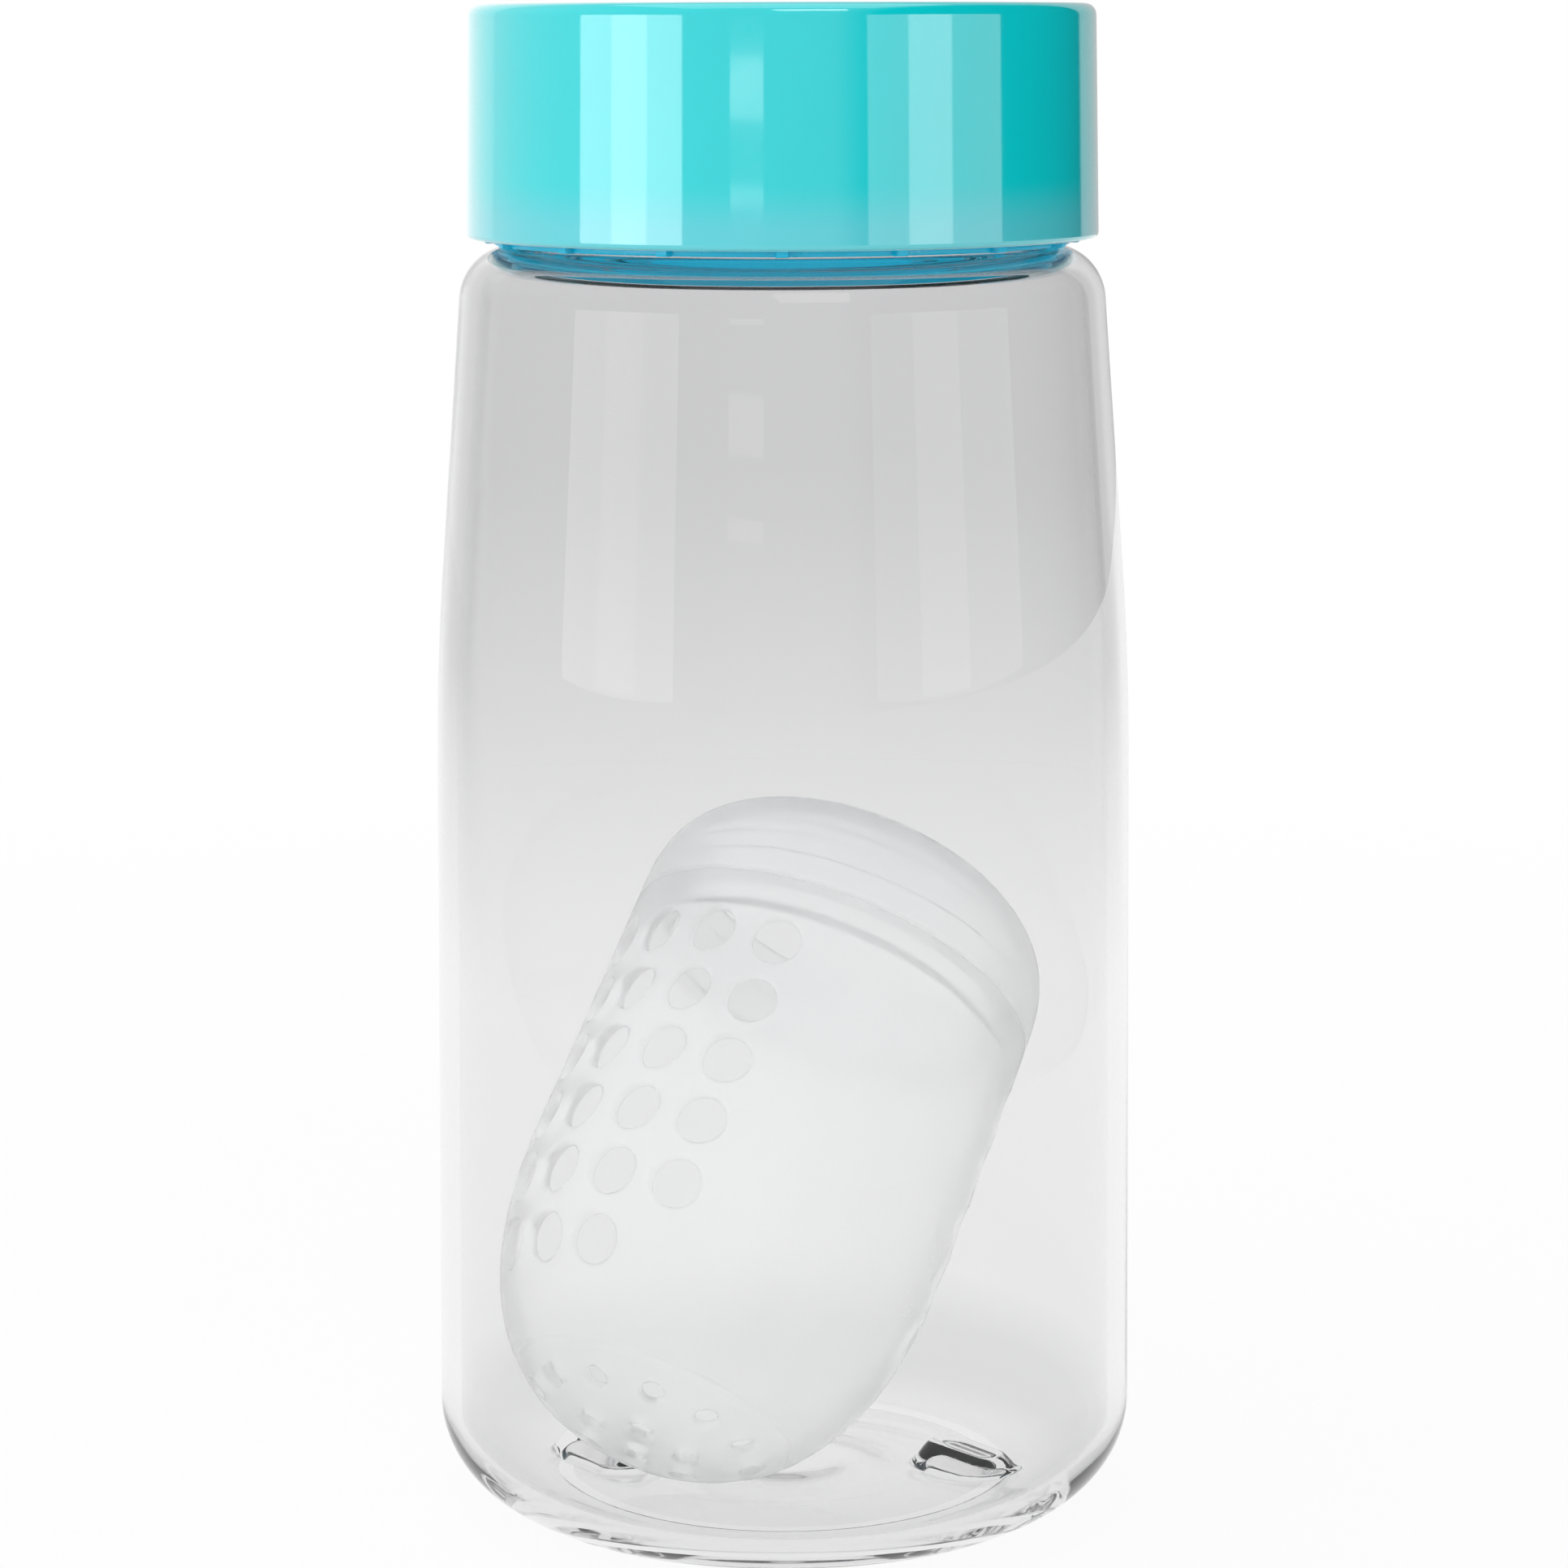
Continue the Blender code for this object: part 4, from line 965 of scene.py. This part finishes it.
strip("left_softbox", -37.8, -17.5, 2.6)
strip("left_softbox_core", -31.0, -24.0, 1.2, distance=0.80)
strip("right_softbox", 15.0, 42.0, 1.3)
strip("right_softbox_core", 22.5, 31.0, 1.5, distance=0.80)
strip("front_window", -9.0, -3.2, 2.0, low=1.05, high=2.15, distance=1.1)
strip("front_window_low", -9.0, -3.2, 1.6, low=-0.5, high=-0.1, distance=1.1)
area_light("overhead", 0.0, 1.1, 0.05, (1.0, 1.0), 0.9)
area_light("key", 12.0, 0.95, 0.95, (0.5, 0.4), 3.2)


def floor_paper():
    """Pale matt paper that glows white where it is looked at or through, and grey at the sides.

    Close to the bottle the glow leaves a share of the plain paper, which holds the shadow.
    """
    paper = Finish("pale_floor", Base_Color=plain_grey(0.9), Roughness=0.9)
    paths = paper.add("ShaderNodeLightPath").outputs
    seen = paper.calculate("MAXIMUM", paths["Is Camera Ray"], paths["Is Transmission Ray"])
    seen = paper.calculate("MAXIMUM", seen, paths["Is Glossy Ray"])
    far = paper.add("ShaderNodeVectorMath", {0: paper.place}, operation="LENGTH").outputs["Value"]
    share = paper.calculate("MULTIPLY", seen, paper.between(far, GLOW_SHARE, 1.0, *GLOW_REACH))
    across = paper.add("ShaderNodeSeparateXYZ", {"Vector": paper.place}).outputs["X"]
    aside = paper.beyond_backdrop(paper.calculate("DIVIDE", across, far))
    grey = paper.calculate("MULTIPLY", aside, paper.between(far, 0.0, 1.0, *GREY_REACH))
    grey = paper.calculate("MULTIPLY", grey, paths["Is Transmission Ray"])
    lit = paper.between(grey, 1.0, SIDE_LEVEL, 0.0, 1.0)
    glow = paper.add("ShaderNodeEmission", {"Color": plain_grey(1.0), "Strength": lit}).outputs[0]
    paper.show_mixed(share, glow)
    return paper.material


floor_mesh = bpy.data.meshes.new("floor")
ring = np.linspace(0.0, TURN, FLOOR_SIDES, endpoint=False)
floor_points = upright(FLOOR_RADIUS, ring, np.zeros(FLOOR_SIDES))
floor_mesh.from_pydata(floor_points.tolist(), [], [list(range(FLOOR_SIDES))])
floor_mesh.materials.append(floor_paper())
floor = bpy.data.objects.new("floor", floor_mesh)
bpy.context.scene.collection.objects.link(floor)


def studio_world():
    """White where it is looked at or through. Lamp light and mirrored light come from a plain room.

    The room is bright on the left, half bright in front, dark on the right, and white behind. The white
    that shows through the walls turns grey on both sides, as a backdrop of a real width does.
    """
    studio = bpy.data.worlds.new("studio")
    bpy.context.scene.world = studio
    studio.use_nodes = True
    world = Nodes(studio.node_tree)
    paths = world.add("ShaderNodeLightPath").outputs
    direction = world.add("ShaderNodeTexCoord").outputs["Generated"]
    x, y = world.add("ShaderNodeSeparateXYZ", {"Vector": direction}).outputs[:2]

    # Room and mirrored backdrop
    ramp = world.add("ShaderNodeValToRGB", {"Fac": world.between(x, 0.0, 1.0, -1.0, 1.0)})
    stops = ramp.color_ramp.elements
    while len(stops) < len(ROOM_STOPS):
        stops.new(0.5)
    for stop, (position, level) in zip(stops, ROOM_STOPS):
        stop.position = position
        stop.color = plain_grey(level)
    sides = world.calculate("MULTIPLY", ramp.outputs[0], ROOM_BRIGHTNESS)
    skewed = world.calculate("MULTIPLY_ADD", x, BACKDROP_SKEW, y)
    behind = world.between(skewed, 0.0, 1.0, *BACKDROP_BEGINS, interpolation_type="SMOOTHSTEP")
    backdrop = world.between(x, *BACKDROP_LEVELS, -BACKDROP_WIDTH, BACKDROP_WIDTH)
    room = world.add("ShaderNodeMix", {0: behind, 2: sides, 3: backdrop}).outputs[0]

    # What is looked at or through
    clear = world.calculate("MAXIMUM", paths["Is Camera Ray"], paths["Is Transmission Ray"])
    grey = world.calculate("MULTIPLY", world.beyond_backdrop(x), paths["Is Transmission Ray"])
    white = world.between(grey, 1.0, SIDE_LEVEL, 0.0, 1.0)
    level = world.add("ShaderNodeMix", {0: clear, 2: room, 3: white}).outputs[0]
    background = world.tree.nodes["Background"].inputs
    background["Color"].default_value = plain_grey(1.0)
    world.feed(level, background["Strength"])


studio_world()

# Camera: just above the lid's height and tipped down, a hair turned and rolled
lens = bpy.data.cameras.new("camera")
lens.lens = 100.0
lens.sensor_width = 36.0
lens.clip_start = 0.01
camera = bpy.data.objects.new("camera", lens)
bpy.context.scene.collection.objects.link(camera)
camera.location = (0.0, -0.4749, 0.16316)
turns = ((-0.011, "Z"), (90.0 - 9.84, "X"), (-0.11, "Z"))
turned_by = Matrix.Identity(3)
for angle, about in turns:
    turned_by = turned_by @ Matrix.Rotation(math.radians(angle), 3, about)
camera.rotation_euler = turned_by.to_euler()
bpy.context.scene.camera = camera
bpy.context.scene.view_settings.view_transform = "Standard"

# Enough light bounces for the nested clear walls
bounces = bpy.context.scene.cycles
bounces.max_bounces = bounces.transmission_bounces = 24
bounces.glossy_bounces = 16
